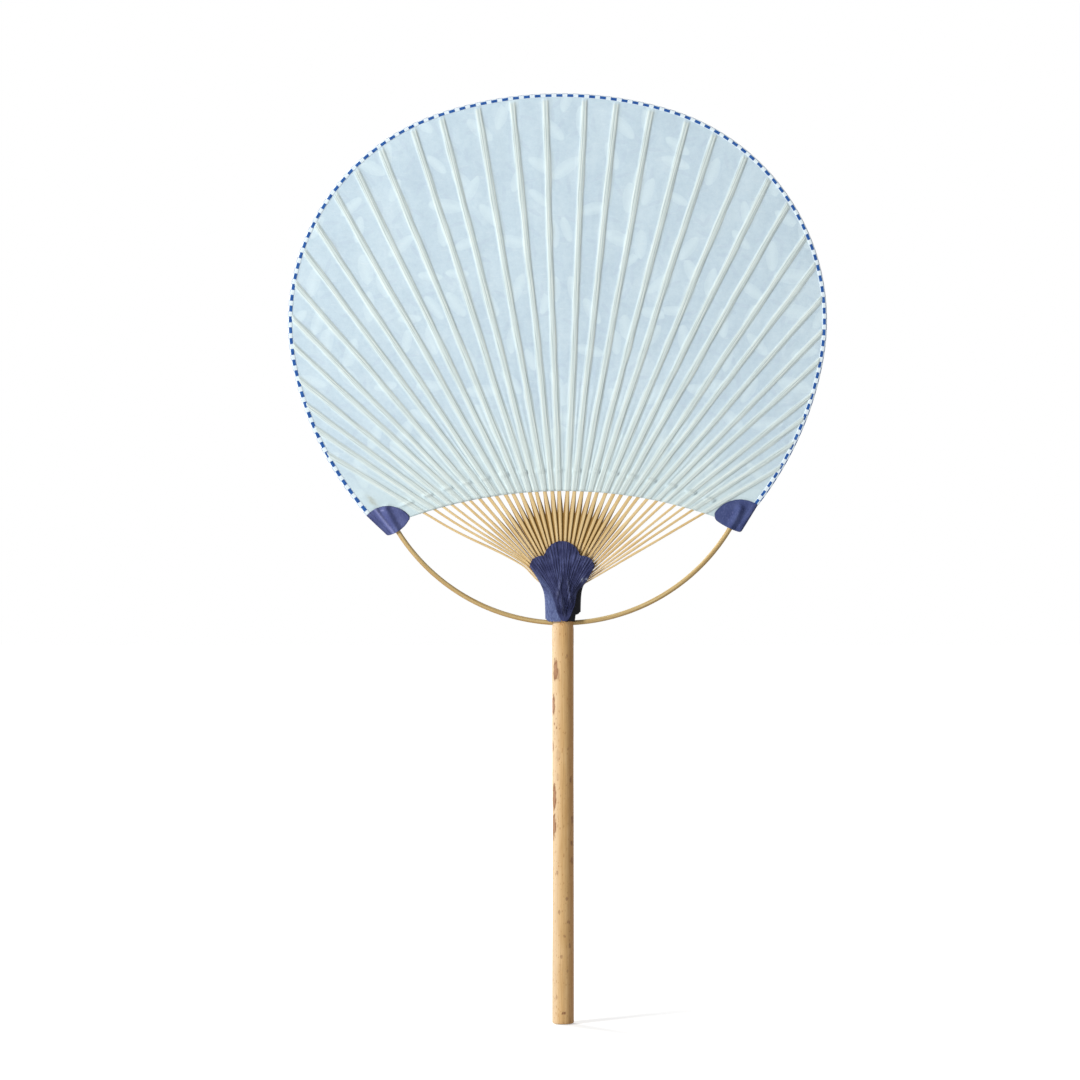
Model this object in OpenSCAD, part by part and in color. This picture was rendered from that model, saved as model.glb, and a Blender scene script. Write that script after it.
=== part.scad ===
// Round hand fan with a split-bamboo frame and paper faces.
// One culm is the grip. Above its node it is split into a ring of strands that bend out into a flat fan of ribs.
// +Z runs from the grip's lower end to the head, +X to the right, and -Y towards the side that is looked at.
// The origin is the centre of the grip's lower end.

/* [Grip] */
// Outer diameter of the bamboo culm
culm_d = 10; // [9:0.5:11]
// Diameter of the hollow inside the culm
hollow_d = 6.4; // [5:0.2:6.6]
// Height at which the culm is split into ribs, just above its node
split_h = 190; // [150:5:210]
// Length of the willow plug in the open lower end
plug_len = 25; // [10:1:60]
// Worn round on the lower edge of the culm
edge_round = 0.6; // [0.2:0.1:1]

/* [Ribs] */
// Number of ribs
rib_count = 34; // [26:2:34]
// Rise of the fan's centre above the split
fan_rise = 8.8; // [8:0.1:10]
// Angle of the outermost ribs from upright
rib_spread = 59; // [50:0.2:59]
// How much closer the ribs lie at the sides than in the middle
rib_crowding = 0.145; // [0:0.005:0.2]
// Lean of the whole row of ribs to the right
rib_lean = 0.2; // [-1:0.1:0.2]
// Uneven spacing of the hand-split ribs, in degrees
rib_wander = 0.25; // [0:0.05:0.3]
// Width of a middle rib where the faces cover it
rib_w = 1.7; // [1.2:0.1:1.8]
// Width of the outermost ribs there
side_rib_w = 1.1; // [0.9:0.1:1.4]
// Thickness of a rib
rib_t = 0.8; // [0.6:0.1:0.9]

/* [Head] */
// Distance from the fan's centre to the top of the head
head_reach = 233.8; // [228:0.2:238]
// Radius of the flat arc over the top
crown_r = 178.2; // [170:0.2:190]
// Radius of the rounds at the sides
side_r = 102.4; // [98:0.2:106]
// Radius of the long curves down to the corners
flank_r = 154; // [150:0.5:160]
// Half the angle that the top arc takes
crown_angle = 17.5; // [16:0.5:19]
// Angle at which a side round passes into the flank
flank_angle = 101.3; // [98:0.1:104]
// Turn of the head on the grip, as it was glued by hand
head_turn = 1.15; // [0:0.05:2]
// Radius of the open arc under the faces
window_r = 213; // [200:1:225]
// Height of the top of that arc above the fan's centre
window_rise = 48.9; // [47:0.1:52]
// Thickness of one paper face
face_t = 0.3; // [0.2:0.05:0.35]

/* [Rim] */
// Width of the rim tape on each face
tape_w = 1.7; // [1.2:0.1:1.8]
// Thickness of the rim tape
tape_t = 0.22; // [0.15:0.01:0.3]

/* [Bow and thread] */
// Thickness of the bamboo bow
bow_d = 2.2; // [1.8:0.1:2.4]
// Radius that the bow is bent to
bow_r = 90.6; // [88:0.2:94]
// Height of the bow where it passes through the culm
bow_low = 186.3; // [186:0.1:186.5]
// Half the angle that the bow spans
bow_angle = 65.6; // [65.4:0.1:66]
// Thickness of the thread that is woven through the ribs
thread_d = 0.5; // [0.4:0.05:0.5]
// Radius of the line that the thread follows
thread_r = 178; // [170:1:185]
// Height of the thread above the fan's centre at the middle
thread_rise = 58.6; // [57:0.1:61]

/* [Paper patches] */
// Radius of the round patch that is folded over the left corner
left_ear_r = 12.9; // [12:0.1:14]
// Radius of the patch on the right corner
right_ear_r = 14.3; // [13:0.1:14.5]
// Thickness of the patches and of the neck's wrapping
patch_t = 0.25; // [0.2:0.05:0.3]
// Half the width of the neck's wrapping at its lower edge
wrap_half_w = 7.8; // [7.6:0.1:9]
// Half the depth of the wrapping at its lower edge
wrap_half_d = 5.7; // [5.6:0.1:6.2]

/* [Hidden] */
fan_h = split_h + fan_rise;
culm_r = culm_d / 2;
hollow_r = hollow_d / 2;
// The node's solid wall and its outer ridge. Below the ridge, where the bow passes, the culm is shaved a little
septum_t = 6;
ridge_h = 3;
ridge_out = 0.3;
shaved = 0.2;
grip_top = bow_low - bow_d / 2 - 1.2;
// The ring of strands at the split
strand_in_r = culm_r - 1.25;
strand_mid_r = (culm_r + strand_in_r) / 2;
strand_gap = 0.1;
// A strand bends until it points straight away from the fan's centre at this distance, and widens up to the next
join_r = 12;
full_w_r = 48;
neck_w = 0.75;
side_neck_w = 0.6;
bend_steps = 7;
flat_by = 0.5;
// Strands at the sides keep their places in the ring this far up
side_hold = 10;
// Between these distances the front and back strands come together in one plane
split_out = 15;
plane_in = 28;
stagger = 0.5;
// Room round what the faces enclose
ease = 0.02;
// Ribs stop short of the rim, and the ridge in the paper closes just beyond them
rib_inset = tape_w + 0.5;
ridge_inset = tape_w + 0.12;
ridge_slope = 0.7;
ridge_crest = 0.1;
// The bow's ends lie between the papers from this angle on
bow_zone = 54;
bow_clear = 0.3;
lash_r = bow_d / 2 + thread_d + 0.08;
bow_centre = [0, bow_low + bow_r];
window_centre = window_rise - window_r;
thread_centre = thread_rise - thread_r;
// Half the angle of the ridge over the thread, and of the thread itself up to the bow
thread_side = 25.4;
thread_end = 26.8;
ridge_past = 0.15;
over_thread = rib_t / 2 + thread_d + 0.06;
corner_angle = 66.6;
left_tip = [80.9, 30.7];
right_tip = [83, 29];
step_angle = 2;
circle_fn = 96;

function rib_name(i) = str("rib_", i < 10 ? "0" : "", i);
function smooth(t) = let (s = min(1, max(0, t))) s * s * (3 - 2 * s);
function mix(a, b, t) = a + (b - a) * t;
function heading(a) = [sin(a), cos(a)];

// Ribs are numbered from the left. Place of a rib from the middle of the row, counted in ribs
function rib_place(i) = i - (rib_count + 1) / 2;

// Angle of a rib from upright, positive to the right
function rib_angle(i) =
    let (k = rib_place(i), f = k / ((rib_count - 1) / 2))
    rib_lean + rib_spread * ((1 + rib_crowding) * f - rib_crowding * pow(f, 3)) + rib_wander * sin(k * 137);

// Outer ribs are the narrow ones
function sideness(i) = smooth((abs(rib_angle(i)) - 25) / 30);
function rib_width(i) = mix(rib_w, side_rib_w, sideness(i));

// Strands alternate between the front and the back half of the ring
function rib_front(i) = i % 2 == 0 ? 1 : -1;

// Direction of a strand round the ring, 0 at the front and 90 at the right
function strand_turn(i) =
    let (a = rib_place(i) * 180 / rib_count)
    rib_front(i) > 0 ? a : 180 - a;
function ring_point(r, a) = r * [sin(a), -cos(a)];

// The rim is a chain of arcs that run into each other
crown_c = [0, head_reach - crown_r];
side_c = crown_c + (crown_r - side_r) * heading(crown_angle);
flank_c = side_c + (side_r - flank_r) * heading(flank_angle);
crown_end = crown_c + crown_r * heading(crown_angle);
side_end = side_c + side_r * heading(flank_angle);
crown_to = atan2(crown_end[0], crown_end[1]);
side_to = atan2(side_end[0], side_end[1]);

// Distance from the fan's centre to a circle along a unit vector
function reach(c, r, u) = c * u + sqrt(r * r - c * c + pow(c * u, 2));

// Distance to the rim in the head's own frame, along a line at angle a that passes the fan's centre by across
function rim_reach(a, inset = 0, across = 0) =
    let (s = abs(a), u = heading(s), start = sign(a) * across * [u[1], -u[0]])
    s < crown_to ? reach(crown_c - start, crown_r - inset, u)
    : s < side_to ? reach(side_c - start, side_r - inset, u)
    : reach(flank_c - start, flank_r - inset, u);
function rib_reach(i, across = 0) = rim_reach(rib_angle(i) + head_turn, rib_inset, across);

function rim_arc(inset, to) = [for (a = [-to:step_angle:to + 0.001]) rim_reach(a, inset) * heading(a)];

// Section of a strand, as four corners about its middle: a slice of the culm's wall at first, a flat rib later
function strand_corners(i) =
    let (a = strand_turn(i), h = (360 / rib_count) / 2 - strand_gap / strand_mid_r * 90 / PI)
    [for (c = [[culm_r - 0.03, -h], [culm_r - 0.03, h], [strand_in_r, h], [strand_in_r, -h]])
        ring_point(c[0], a + c[1]) - ring_point(strand_mid_r, a)];
function flat_corners(w, t, quarter) =
    let (flat = [[-w, -t], [w, -t], [w, t], [-w, t]] / 2)
    [for (j = [0:3]) flat[(j + quarter) % 4]];

// A cubic curve between two points with given pulls, and its direction
function bend(p, pull_p, q, pull_q, t) =
    (2 * pow(t, 3) - 3 * t * t + 1) * p + (pow(t, 3) - 2 * t * t + t) * pull_p
    + (3 * t * t - 2 * pow(t, 3)) * q + (pow(t, 3) - t * t) * pull_q;
function bend_dir(p, pull_p, q, pull_q, t) =
    let (d = (6 * t * t - 6 * t) * (p - q) + (3 * t * t - 4 * t + 1) * pull_p + (3 * t * t - 2 * t) * pull_q)
    d / norm(d);

// Depth of a strand's middle from the plane of the fan, by the way it has come from the split
function strand_depth(i, way) =
    let (
        start = strand_mid_r * abs(cos(strand_turn(i))),
        middle = stagger + 0.9 * abs(cos(strand_turn(i))),
        hold = side_hold * abs(sin(strand_turn(i))),
        to_middle = fan_rise + split_out,
        to_plane = fan_rise + plane_in
    )
    -rib_front(i) * (
        way < to_middle
        ? mix(start, middle, smooth((way - hold) / (to_middle - hold)))
        : middle * (1 - smooth((way - to_middle) / (to_plane - to_middle)))
    );

// One ring of four points across a rib
function rib_ring(i, centre, dir, depth, corners) =
    [for (c = corners) [centre[0] + c[0] * dir[1], depth + c[1], fan_h + centre[1] - c[0] * dir[0]]];

function rib_points(i) =
    let (
        out = heading(rib_angle(i)),
        root = [strand_mid_r * sin(strand_turn(i)), -fan_rise],
        join = join_r * out,
        up = [0, 15],
        away = 7 * out,
        quarter = round(strand_turn(i) / 90) + 4,
        bend_way = fan_rise + join_r,
        narrow = mix(neck_w, side_neck_w, sideness(i)),
        bent = [for (n = [0:bend_steps])
            let (t = n / bend_steps, at_ring = strand_corners(i), flat = flat_corners(narrow, rib_t, quarter))
            rib_ring(
                i, bend(root, up, join, away, t), bend_dir(root, up, join, away, t),
                strand_depth(i, t * bend_way), mix(at_ring, flat, smooth(t / flat_by))
            )],
        straight = [for (r = [split_out, 18.5, 22, 25, plane_in, full_w_r])
            rib_ring(
                i, r * out, out, strand_depth(i, fan_rise + r),
                flat_corners(mix(narrow, rib_width(i), (r - join_r) / (full_w_r - join_r)), rib_t, quarter)
            )],
        tip = [for (c = flat_corners(rib_width(i), rib_t, quarter))
            rib_ring(i, rib_reach(i, c[0]) * out, out, 0, [c])[0]]
    )
    [for (ring = concat(bent, straight, [tip])) each ring];

// Solid tube through rings of points, closed by its first and its last ring
module tube(points, sides) {
    rings = len(points) / sides;
    polyhedron(
        points = points,
        faces = concat(
            [[for (j = [0:sides - 1]) j]],
            [[for (j = [sides - 1:-1:0]) (rings - 1) * sides + j]],
            [for (n = [0:rings - 2], j = [0:sides - 1])
                let (a = n * sides + j, b = n * sides + (j + 1) % sides)
                [a, a + sides, b + sides, b]]
        ),
        convexity = 6
    );
}

// Solid sheet between two grids of points that have the same rows and columns
module shell(outer, inner) {
    rows = len(outer);
    cols = len(outer[0]);
    half = rows * cols;
    function at(n, r, c) = n * half + r * cols + c;
    edge = concat(
        [for (c = [0:cols - 1]) at(0, 0, c)],
        [for (r = [1:rows - 1]) at(0, r, cols - 1)],
        [for (c = [cols - 2:-1:0]) at(0, rows - 1, c)],
        [for (r = [rows - 2:-1:1]) at(0, r, 0)]
    );
    polyhedron(
        points = [for (grid = [outer, inner], row = grid) each row],
        faces = concat(
            [for (r = [0:rows - 2], c = [0:cols - 2])
                [at(0, r, c), at(0, r + 1, c), at(0, r + 1, c + 1), at(0, r, c + 1)]],
            [for (r = [0:rows - 2], c = [0:cols - 2])
                [at(1, r, c), at(1, r, c + 1), at(1, r + 1, c + 1), at(1, r + 1, c)]],
            [for (n = [0:len(edge) - 1])
                let (a = edge[n], b = edge[(n + 1) % len(edge)])
                [a, b, b + half, a + half]]
        ),
        convexity = 6
    );
}

// Places a shape drawn in the fan's plane, with its thickness from y0 back to y1
module in_plane(y0, y1) {
    translate([0, y1, fan_h])
        rotate([90, 0, 0])
            linear_extrude(y1 - y0)
                children();
}

// Frame of one rib: its length along +Z from the fan's centre
module along_rib(i) {
    translate([0, 0, fan_h])
        rotate([0, rib_angle(i), 0])
            children();
}

// Torus about an axis through the fan's plane, between two angles from straight down or up
module plane_ring(centre, from, to) {
    translate([centre[0], 0, centre[1]])
        rotate([90, 0, 0])
            rotate([0, 0, from])
                rotate_extrude(angle = to - from, $fn = circle_fn * 2)
                    children();
}

module bow_shape(r, from, to) {
    plane_ring(bow_centre, from - 90, to - 90)
        translate([bow_r, 0])
            circle(r, $fn = 32);
}

// The lower edge's arc, which opens the window over the neck
module window_arc(r) {
    translate([0, window_centre])
        circle(r, $fn = circle_fn * 3);
}

module head_plan(inset) {
    rotate(head_turn)
        polygon(concat(
            rim_arc(inset, corner_angle),
            [right_tip - [inset, 0], [-left_tip[0] + inset, left_tip[1]]]
        ));
}

module face_plan(grow = 0) {
    difference() {
        head_plan(-grow);
        window_arc(window_r - grow);
    }
}

// Ridge that the thread raises in one paper
module thread_ridge(side, over, past = 0) {
    plane_ring([0, fan_h + thread_centre], 90 - thread_side - past, 90 + thread_side + past)
        polygon([
            [thread_r - over_thread - over, 0],
            [thread_r + over_thread + over, 0],
            [thread_r + thread_d / 2 + over, -side * (over_thread + over)],
            [thread_r - thread_d / 2 - over, -side * (over_thread + over)]
        ]);
}

// Room for one end of the bow
module bow_end(side, r) {
    ends = [side * bow_zone, side * (bow_angle + bow_clear)];
    bow_shape(r, min(ends), max(ends));
}

// One of the two papers. Between ribs it meets the other one, over each rib and over the thread it stands up.
// side is -1 for the front and 1 for the back.
module face(side) {
    over_rib = rib_t / 2 + ease;
    difference() {
        union() {
            in_plane(min(0, side * face_t), max(0, side * face_t))
                face_plan();
            intersection() {
                in_plane(-2, 2)
                    difference() {
                        head_plan(ridge_inset);
                        window_arc(window_r);
                    }
                union() {
                    for (i = [1:rib_count])
                        along_rib(i)
                            linear_extrude(rib_reach(i) + 4)
                                polygon([
                                    [-rib_width(i) / 2 - ridge_slope, 0],
                                    [rib_width(i) / 2 + ridge_slope, 0],
                                    [rib_width(i) / 2 + ridge_crest, side * (over_rib + face_t)],
                                    [-rib_width(i) / 2 - ridge_crest, side * (over_rib + face_t)]
                                ]);
                    thread_ridge(side, face_t);
                }
            }
        }
        for (i = [1:rib_count])
            let (half_w = rib_width(i) / 2 + ease)
                along_rib(i)
                    rotate([90, 0, 0])
                        translate([0, 0, -over_rib])
                            linear_extrude(2 * over_rib)
                                polygon([
                                    [-half_w, 0], [half_w, 0],
                                    [half_w, rib_reach(i, half_w) + ease], [-half_w, rib_reach(i, -half_w) + ease]
                                ]);
        plane_ring([0, fan_h + thread_centre], 90 - thread_end, 90 + thread_end)
            translate([thread_r - thread_d / 2 - ease, -over_thread])
                square([thread_d + 2 * ease, 2 * over_thread]);
        for (side = [-1, 1])
            bow_end(side, lash_r);
    }
}

module handle_culm() {
    top = split_h;
    color("#d2a968")
        difference() {
            rotate_extrude($fn = circle_fn)
                polygon([
                    [hollow_r, 0],
                    [culm_r - edge_round, 0],
                    [culm_r - edge_round * 0.3, edge_round * 0.3],
                    [culm_r, edge_round],
                    [culm_r, grip_top],
                    [culm_r - shaved, grip_top + shaved],
                    [culm_r - shaved, top - ridge_h],
                    [culm_r + ridge_out, top - ridge_h * 0.6],
                    [culm_r + ridge_out, top - ridge_h * 0.4],
                    [culm_r, top],
                    [strand_in_r, top],
                    [strand_in_r, top - ridge_h / 2],
                    [0, top - ridge_h / 2],
                    [0, top - ridge_h / 2 - septum_t],
                    [hollow_r, top - ridge_h / 2 - septum_t]
                ]);
            translate([-culm_d, 0, bow_low])
                rotate([0, 90, 0])
                    cylinder(h = 2 * culm_d, r = bow_d / 2 + 0.2, $fn = 48);
        }
}

module end_plug() {
    color("#e3cfa2")
        cylinder(h = plug_len, r = hollow_r - ease, $fn = circle_fn);
}

module rib(i) {
    color("#dcb97c")
        tube(rib_points(i), 4);
}

module bow() {
    color("#c9a468")
        bow_shape(bow_d / 2, -bow_angle, bow_angle);
}

// The thread's way along its arc: behind and before the ribs in turn, and between the papers at the ends
function thread_at(a, depth) =
    [thread_r * sin(a), depth, fan_h + thread_centre + thread_r * cos(a)];

// Angle along the thread's arc at which it meets the line of a rib, plus a distance across the rib
function thread_meets(i, across) =
    let (u = heading(rib_angle(i)), c = [0, thread_centre], p = reach(c, thread_r, u) * u - c)
    atan2(p[0], p[1]) + across / thread_r * 180 / PI;
over_under = rib_t / 2 + thread_d / 2 + 1.5 * ease;
thread_weave = [for (i = [1:rib_count], s = [-1, 0, 1])
    thread_at(thread_meets(i, s * (rib_width(i) / 2 + 0.15)), rib_front(i) * over_under)];

// Three turns round the bow, ended on the side of the head
lash_turns = 3;
lash_steps = 12;
lash_from = 62.3;
lash_to = 64.2;
lash_out = (bow_d + thread_d + 2 * ease) / 2;
function lash(side) =
    [for (n = [0:lash_turns * lash_steps])
        let (
            t = n / (lash_turns * lash_steps),
            a = side * mix(lash_from, lash_to, t),
            turn = 360 * lash_turns * (1 - t),
            r = bow_r - lash_out * cos(turn)
        )
        [bow_centre[0] + sin(a) * r, lash_out * sin(turn) * side, bow_centre[1] - cos(a) * r]];
lead_angles = [26.2, 25.7, 25.1];
right_lash = lash(1);
thread_path = concat(
    lash(-1),
    [for (a = lead_angles) thread_at(-a, 0)],
    thread_weave,
    [for (n = [len(lead_angles) - 1:-1:0]) thread_at(lead_angles[n], 0)],
    [for (n = [len(right_lash) - 1:-1:0]) right_lash[n]]
);

// Ring of points round a path, square to it
function path_dir(path, n) =
    let (d = path[min(n + 1, len(path) - 1)] - path[max(n - 1, 0)])
    d / norm(d);
function path_ring(path, n, r, sides) =
    let (
        d = path_dir(path, n),
        side = cross(d, [0.02, 1, 0.01]),
        a = side / norm(side),
        b = cross(d, a)
    )
    [for (j = [0:sides - 1]) path[n] + r * (a * cos(360 * j / sides) + b * sin(360 * j / sides))];

module binding_thread() {
    color("#e9e2cf")
        tube([for (n = [0:len(thread_path) - 1]) each path_ring(thread_path, n, thread_d / 2, 6)], 6);
}

module front_face() {
    color("#d3e7f1")
        face(-1);
}

module back_face() {
    color("#cfe3ee")
        face(1);
}

// A folded strip that grips the cut edge of both papers
module rim_tape() {
    color("#2f63ad")
        difference() {
            in_plane(-face_t - tape_t, face_t + tape_t)
                difference() {
                    head_plan(-tape_t - ease);
                    head_plan(tape_w);
                    rotate(head_turn)
                        for (side = [-1, 1])
                            ear_plan(side, 0.05);
                    translate([-200, -400])
                        square([400, 400 + left_tip[1] + 6]);
                }
            in_plane(-face_t - ease / 2, face_t + ease / 2)
                head_plan(-ease);
        }
}

// A round patch with its middle at the head's corner, folded over the corner's cut edge. Its two ends are rounded
ear_low = [[-1.2, -0.9], [0, -1.1], [1, -0.4]];
ear_turn = 140;
ear_round = 3.4;
function corner(side) = side < 0 ? left_tip : right_tip;
function ear_radius(side) = side < 0 ? left_ear_r : right_ear_r;

// Angle of the cut edge at a corner, seen from the tip
function fold_angle(side) =
    let (d = rim_reach(corner_angle) * heading(corner_angle) - corner(side))
    atan2(d[1], d[0]);
module ear_plan(side, grow = 0) {
    r = ear_radius(side) + grow;
    tip = corner(side);
    middle = (r - ear_round) * [cos(ear_turn), sin(ear_turn)];
    points = concat(
        ear_low,
        [for (a = [fold_angle(side) - 1:6:ear_turn]) r * [cos(a), sin(a)]],
        [for (a = [ear_turn:12:200]) middle + ear_round * [cos(a), sin(a)]]
    );
    polygon([for (p = points) [side * (tip[0] + p[0]), tip[1] + p[1]]]);
}

module ear(side) {
    difference() {
        intersection() {
            in_plane(-3, 3)
                rotate(head_turn)
                    ear_plan(side);
            union() {
                in_plane(-face_t - patch_t, face_t + patch_t)
                    square(2 * head_reach, center = true);
                bow_end(side, lash_r + patch_t);
                for (face_side = [-1, 1])
                    thread_ridge(face_side, face_t + patch_t, 2 * ridge_past);
            }
        }
        in_plane(-face_t - ease / 2, face_t + ease / 2)
            face_plan(ease);
        bow_end(side, lash_r);
        for (face_side = [-1, 1])
            thread_ridge(face_side, face_t + ease, ridge_past);
    }
}

module left_ear() {
    color("#434a86")
        ear(-1);
}

module right_ear() {
    color("#434a86")
        ear(1);
}

// Form of the wrapped neck by height: half its width, half its depth, and the gap that the outer ribs leave by
wrap_low = bow_low + 0.7;
function wrap_a(z) = wrap_half_w + 0.31 * ((z - 201) + sqrt(pow(z - 201, 2) + 16));
function wrap_b(z) = mix(wrap_half_d, 0.75, smooth((z - wrap_low) / 43));
function wrap_gap(z) = min(wrap_b(z), 0.97 * smooth((z - 196) / 6));
function wrap_depth(x, z) =
    let (g = wrap_gap(z), f = min(1, abs(x) / wrap_a(z)))
    g + (wrap_b(z) - g) * sqrt(1 - f * f);

// Upper edge of the wrapping: a round lobe in the middle and a smaller one at each side
lobe_r = 8.5;
lobe_h = 215.9;
side_lobe_r = 7;
side_lobe = [9.3, 210.6];
wrap_edge = 15.3;
function wrap_top(x) =
    let (low = side_lobe[1] + sqrt(max(0, pow(side_lobe_r, 2) - pow(abs(x) - side_lobe[0], 2))))
    abs(x) < lobe_r ? max(low, lobe_h + sqrt(lobe_r * lobe_r - x * x)) : low;

// The front paper ends below in a long petal, over the flaps of the back one
petal_top = 204;
function petal_w(z) = 6.9 * pow(max(0.004, (z - wrap_low) / (petal_top - wrap_low)), 0.6);
function front_half_w(z) = mix(petal_w(z), wrap_a(z), smooth((z - 199) / 7));

wrap_rows = 15;
front_cols = 26;
back_cols = 34;
function front_grid(out) =
    [for (r = [0:wrap_rows])
        [for (c = [0:front_cols])
            let (
                v = r / wrap_rows,
                f = 2 * c / front_cols - 1,
                side_z = mix(wrap_low + 0.2, wrap_top(wrap_edge), v),
                z = mix(wrap_low + 0.2, wrap_top(f * wrap_edge), v),
                x = f * front_half_w(side_z)
            )
            [x, -wrap_depth(x, z) - out, z]]];

// The back paper runs round the sides and is folded on to the front as two flaps, which narrow upwards
function flap_turn(z) = 80 * pow(max(0, 1 - (z - wrap_low) / (petal_top - wrap_low)), 0.8);
function back_point(turn, z, side_z, out) =
    let (
        g = wrap_gap(z),
        a = wrap_a(side_z) + out,
        lift = turn < 0 || turn > 180 ? -1 : 1
    )
    [a * cos(turn), lift * (g + (wrap_b(z) - g) * abs(sin(turn))) + sin(turn) * out, z];
function back_grid(out) =
    [for (r = [0:wrap_rows])
        [for (c = [0:back_cols])
            let (
                v = r / wrap_rows,
                side_z = mix(wrap_low, wrap_top(wrap_edge), v),
                flap = flap_turn(side_z),
                turn = mix(-flap, 180 + flap, c / back_cols),
                over = wrap_edge * cos(min(180, max(0, turn)))
            )
            back_point(turn, mix(wrap_low, wrap_top(over), v), side_z, out)]];

module neck_wrap_front() {
    color("#3f4680")
        shell(front_grid(2 * patch_t + 0.1), front_grid(patch_t + 0.1));
}

module neck_wrap_back() {
    color("#3a4078")
        difference() {
            shell(back_grid(patch_t), back_grid(0));
            bow_shape(bow_d / 2 + 0.1, -12, 12);
        }
}

handle_culm();
end_plug();
for (i = [1:rib_count])
    rib(i);
bow();
binding_thread();
front_face();
back_face();
rim_tape();
left_ear();
right_ear();
neck_wrap_front();
neck_wrap_back();
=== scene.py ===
"""Round hand fan of split bamboo and paper: its visible surfaces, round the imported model."""
import math

import bmesh
import bpy
import numpy as np
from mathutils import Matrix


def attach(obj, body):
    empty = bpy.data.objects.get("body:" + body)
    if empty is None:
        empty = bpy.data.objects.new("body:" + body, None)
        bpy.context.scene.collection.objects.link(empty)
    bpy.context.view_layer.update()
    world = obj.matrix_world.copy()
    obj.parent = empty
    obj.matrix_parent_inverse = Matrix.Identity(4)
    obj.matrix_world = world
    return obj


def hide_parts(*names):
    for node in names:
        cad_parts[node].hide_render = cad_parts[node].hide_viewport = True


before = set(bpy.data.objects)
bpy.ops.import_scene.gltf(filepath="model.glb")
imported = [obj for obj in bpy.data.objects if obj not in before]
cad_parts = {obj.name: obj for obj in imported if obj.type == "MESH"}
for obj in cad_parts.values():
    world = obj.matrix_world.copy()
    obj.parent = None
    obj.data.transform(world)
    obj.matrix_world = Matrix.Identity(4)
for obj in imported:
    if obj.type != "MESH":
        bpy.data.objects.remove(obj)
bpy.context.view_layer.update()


# Camera
# A long lens at the height of the fan's middle, square to its front, as the photograph was taken. The width
# and the middle of what it sees at the fan are in metres.
view_width = 0.5028
view_x, view_z = -0.0107, 0.2249
lens_mm = 120
sensor_mm = 36
camera_data = bpy.data.cameras.new("camera")
camera_data.lens = lens_mm
camera_data.sensor_width = sensor_mm
camera = bpy.data.objects.new("camera", camera_data)
camera.location = (view_x, -view_width * lens_mm / sensor_mm, view_z)
camera.rotation_euler = (math.pi / 2, 0, 0)
bpy.context.scene.collection.objects.link(camera)
bpy.context.scene.camera = camera
bpy.context.scene.view_settings.view_transform = "Standard"


# Studio
# A wide white floor under a white room. One large soft lamp stands far to the left of the camera, so that its
# light rakes over the ridges, and another lights the fan's back from the same side.
def linear(hex_colour):
    """A colour written as sRGB hex, as the linear values that Blender works with."""
    values = [int(hex_colour[i:i + 2], 16) / 255 for i in (1, 3, 5)]
    return tuple(v / 12.92 if v <= 0.04045 else ((v + 0.055) / 1.055) ** 2.4 for v in values) + (1,)


def add_node(tree, kind, sockets=None, stops=None, **settings):
    """Adds a node with its settings, its socket values or links, and the stops of its colour ramp."""
    made = tree.nodes.new(kind)
    for name, value in settings.items():
        setattr(made, name, value)
    for socket, value in (sockets or {}).items():
        if isinstance(value, bpy.types.NodeSocket):
            tree.links.new(value, made.inputs[socket])
        else:
            made.inputs[socket].default_value = value
    if stops:
        ramp = made.color_ramp
        while len(ramp.elements) < len(stops):
            ramp.elements.new(0.5)
        for element, (place, colour) in zip(ramp.elements, stops):
            element.position = place
            element.color = linear(colour) if isinstance(colour, str) else (colour, colour, colour, 1)
    return made


def new_material(name):
    """An empty material and its node tree."""
    made = bpy.data.materials.new(name)
    made.use_nodes = True
    made.node_tree.nodes.clear()
    return made, made.node_tree


def link_object(name, data):
    """A new object of the scene, from its data."""
    made = bpy.data.objects.new(name, data)
    bpy.context.scene.collection.objects.link(made)
    return made


world = bpy.data.worlds.new("white_room")
world.use_nodes = True
room = world.node_tree
room.nodes.clear()
room_light = 0.215
ray = add_node(room, "ShaderNodeLightPath")
seen = add_node(room, "ShaderNodeMath", {0: ray.outputs["Is Camera Ray"], 1: ray.outputs["Is Glossy Ray"]},
                operation="MAXIMUM")
seen_through = add_node(room, "ShaderNodeMath", {0: seen.outputs[0], 1: ray.outputs["Is Transmission Ray"]},
                        operation="MAXIMUM")
strength = add_node(room, "ShaderNodeMapRange", {0: seen_through.outputs[0], 3: room_light, 4: 1.0})
sky = add_node(room, "ShaderNodeBackground", {"Color": (1, 1, 1, 1), "Strength": strength.outputs[0]})
add_node(room, "ShaderNodeOutputWorld", {"Surface": sky.outputs[0]})
bpy.context.scene.world = world

lamp_aim = np.array([0, 0, 0.24])
for lamp_name, place, size, power in (
    ("key_lamp", (-2.0, -1.55, 1.15), 0.6, 62),
    ("back_lamp", (-1.7, 1.9, 1.2), 0.8, 50),
):
    lamp_data = bpy.data.lights.new(lamp_name, "AREA")
    lamp_data.size = size
    lamp_data.energy = power
    lamp = link_object(lamp_name, lamp_data)
    lamp.location = place
    aim = lamp_aim - np.array(place)
    lamp.rotation_euler = (math.atan2(math.hypot(aim[0], aim[1]), -aim[2]), 0, math.atan2(-aim[0], aim[1]))

floor_half = 6.0
floor_z = -0.0003
floor_mesh = bpy.data.meshes.new("floor")
floor_mesh.from_pydata([(floor_half * to_x, floor_half * to_y, floor_z)
                        for to_x, to_y in ((-1, -1), (1, -1), (1, 1), (-1, 1))], [], [(0, 1, 2, 3)])
floor = link_object("floor", floor_mesh)
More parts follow.
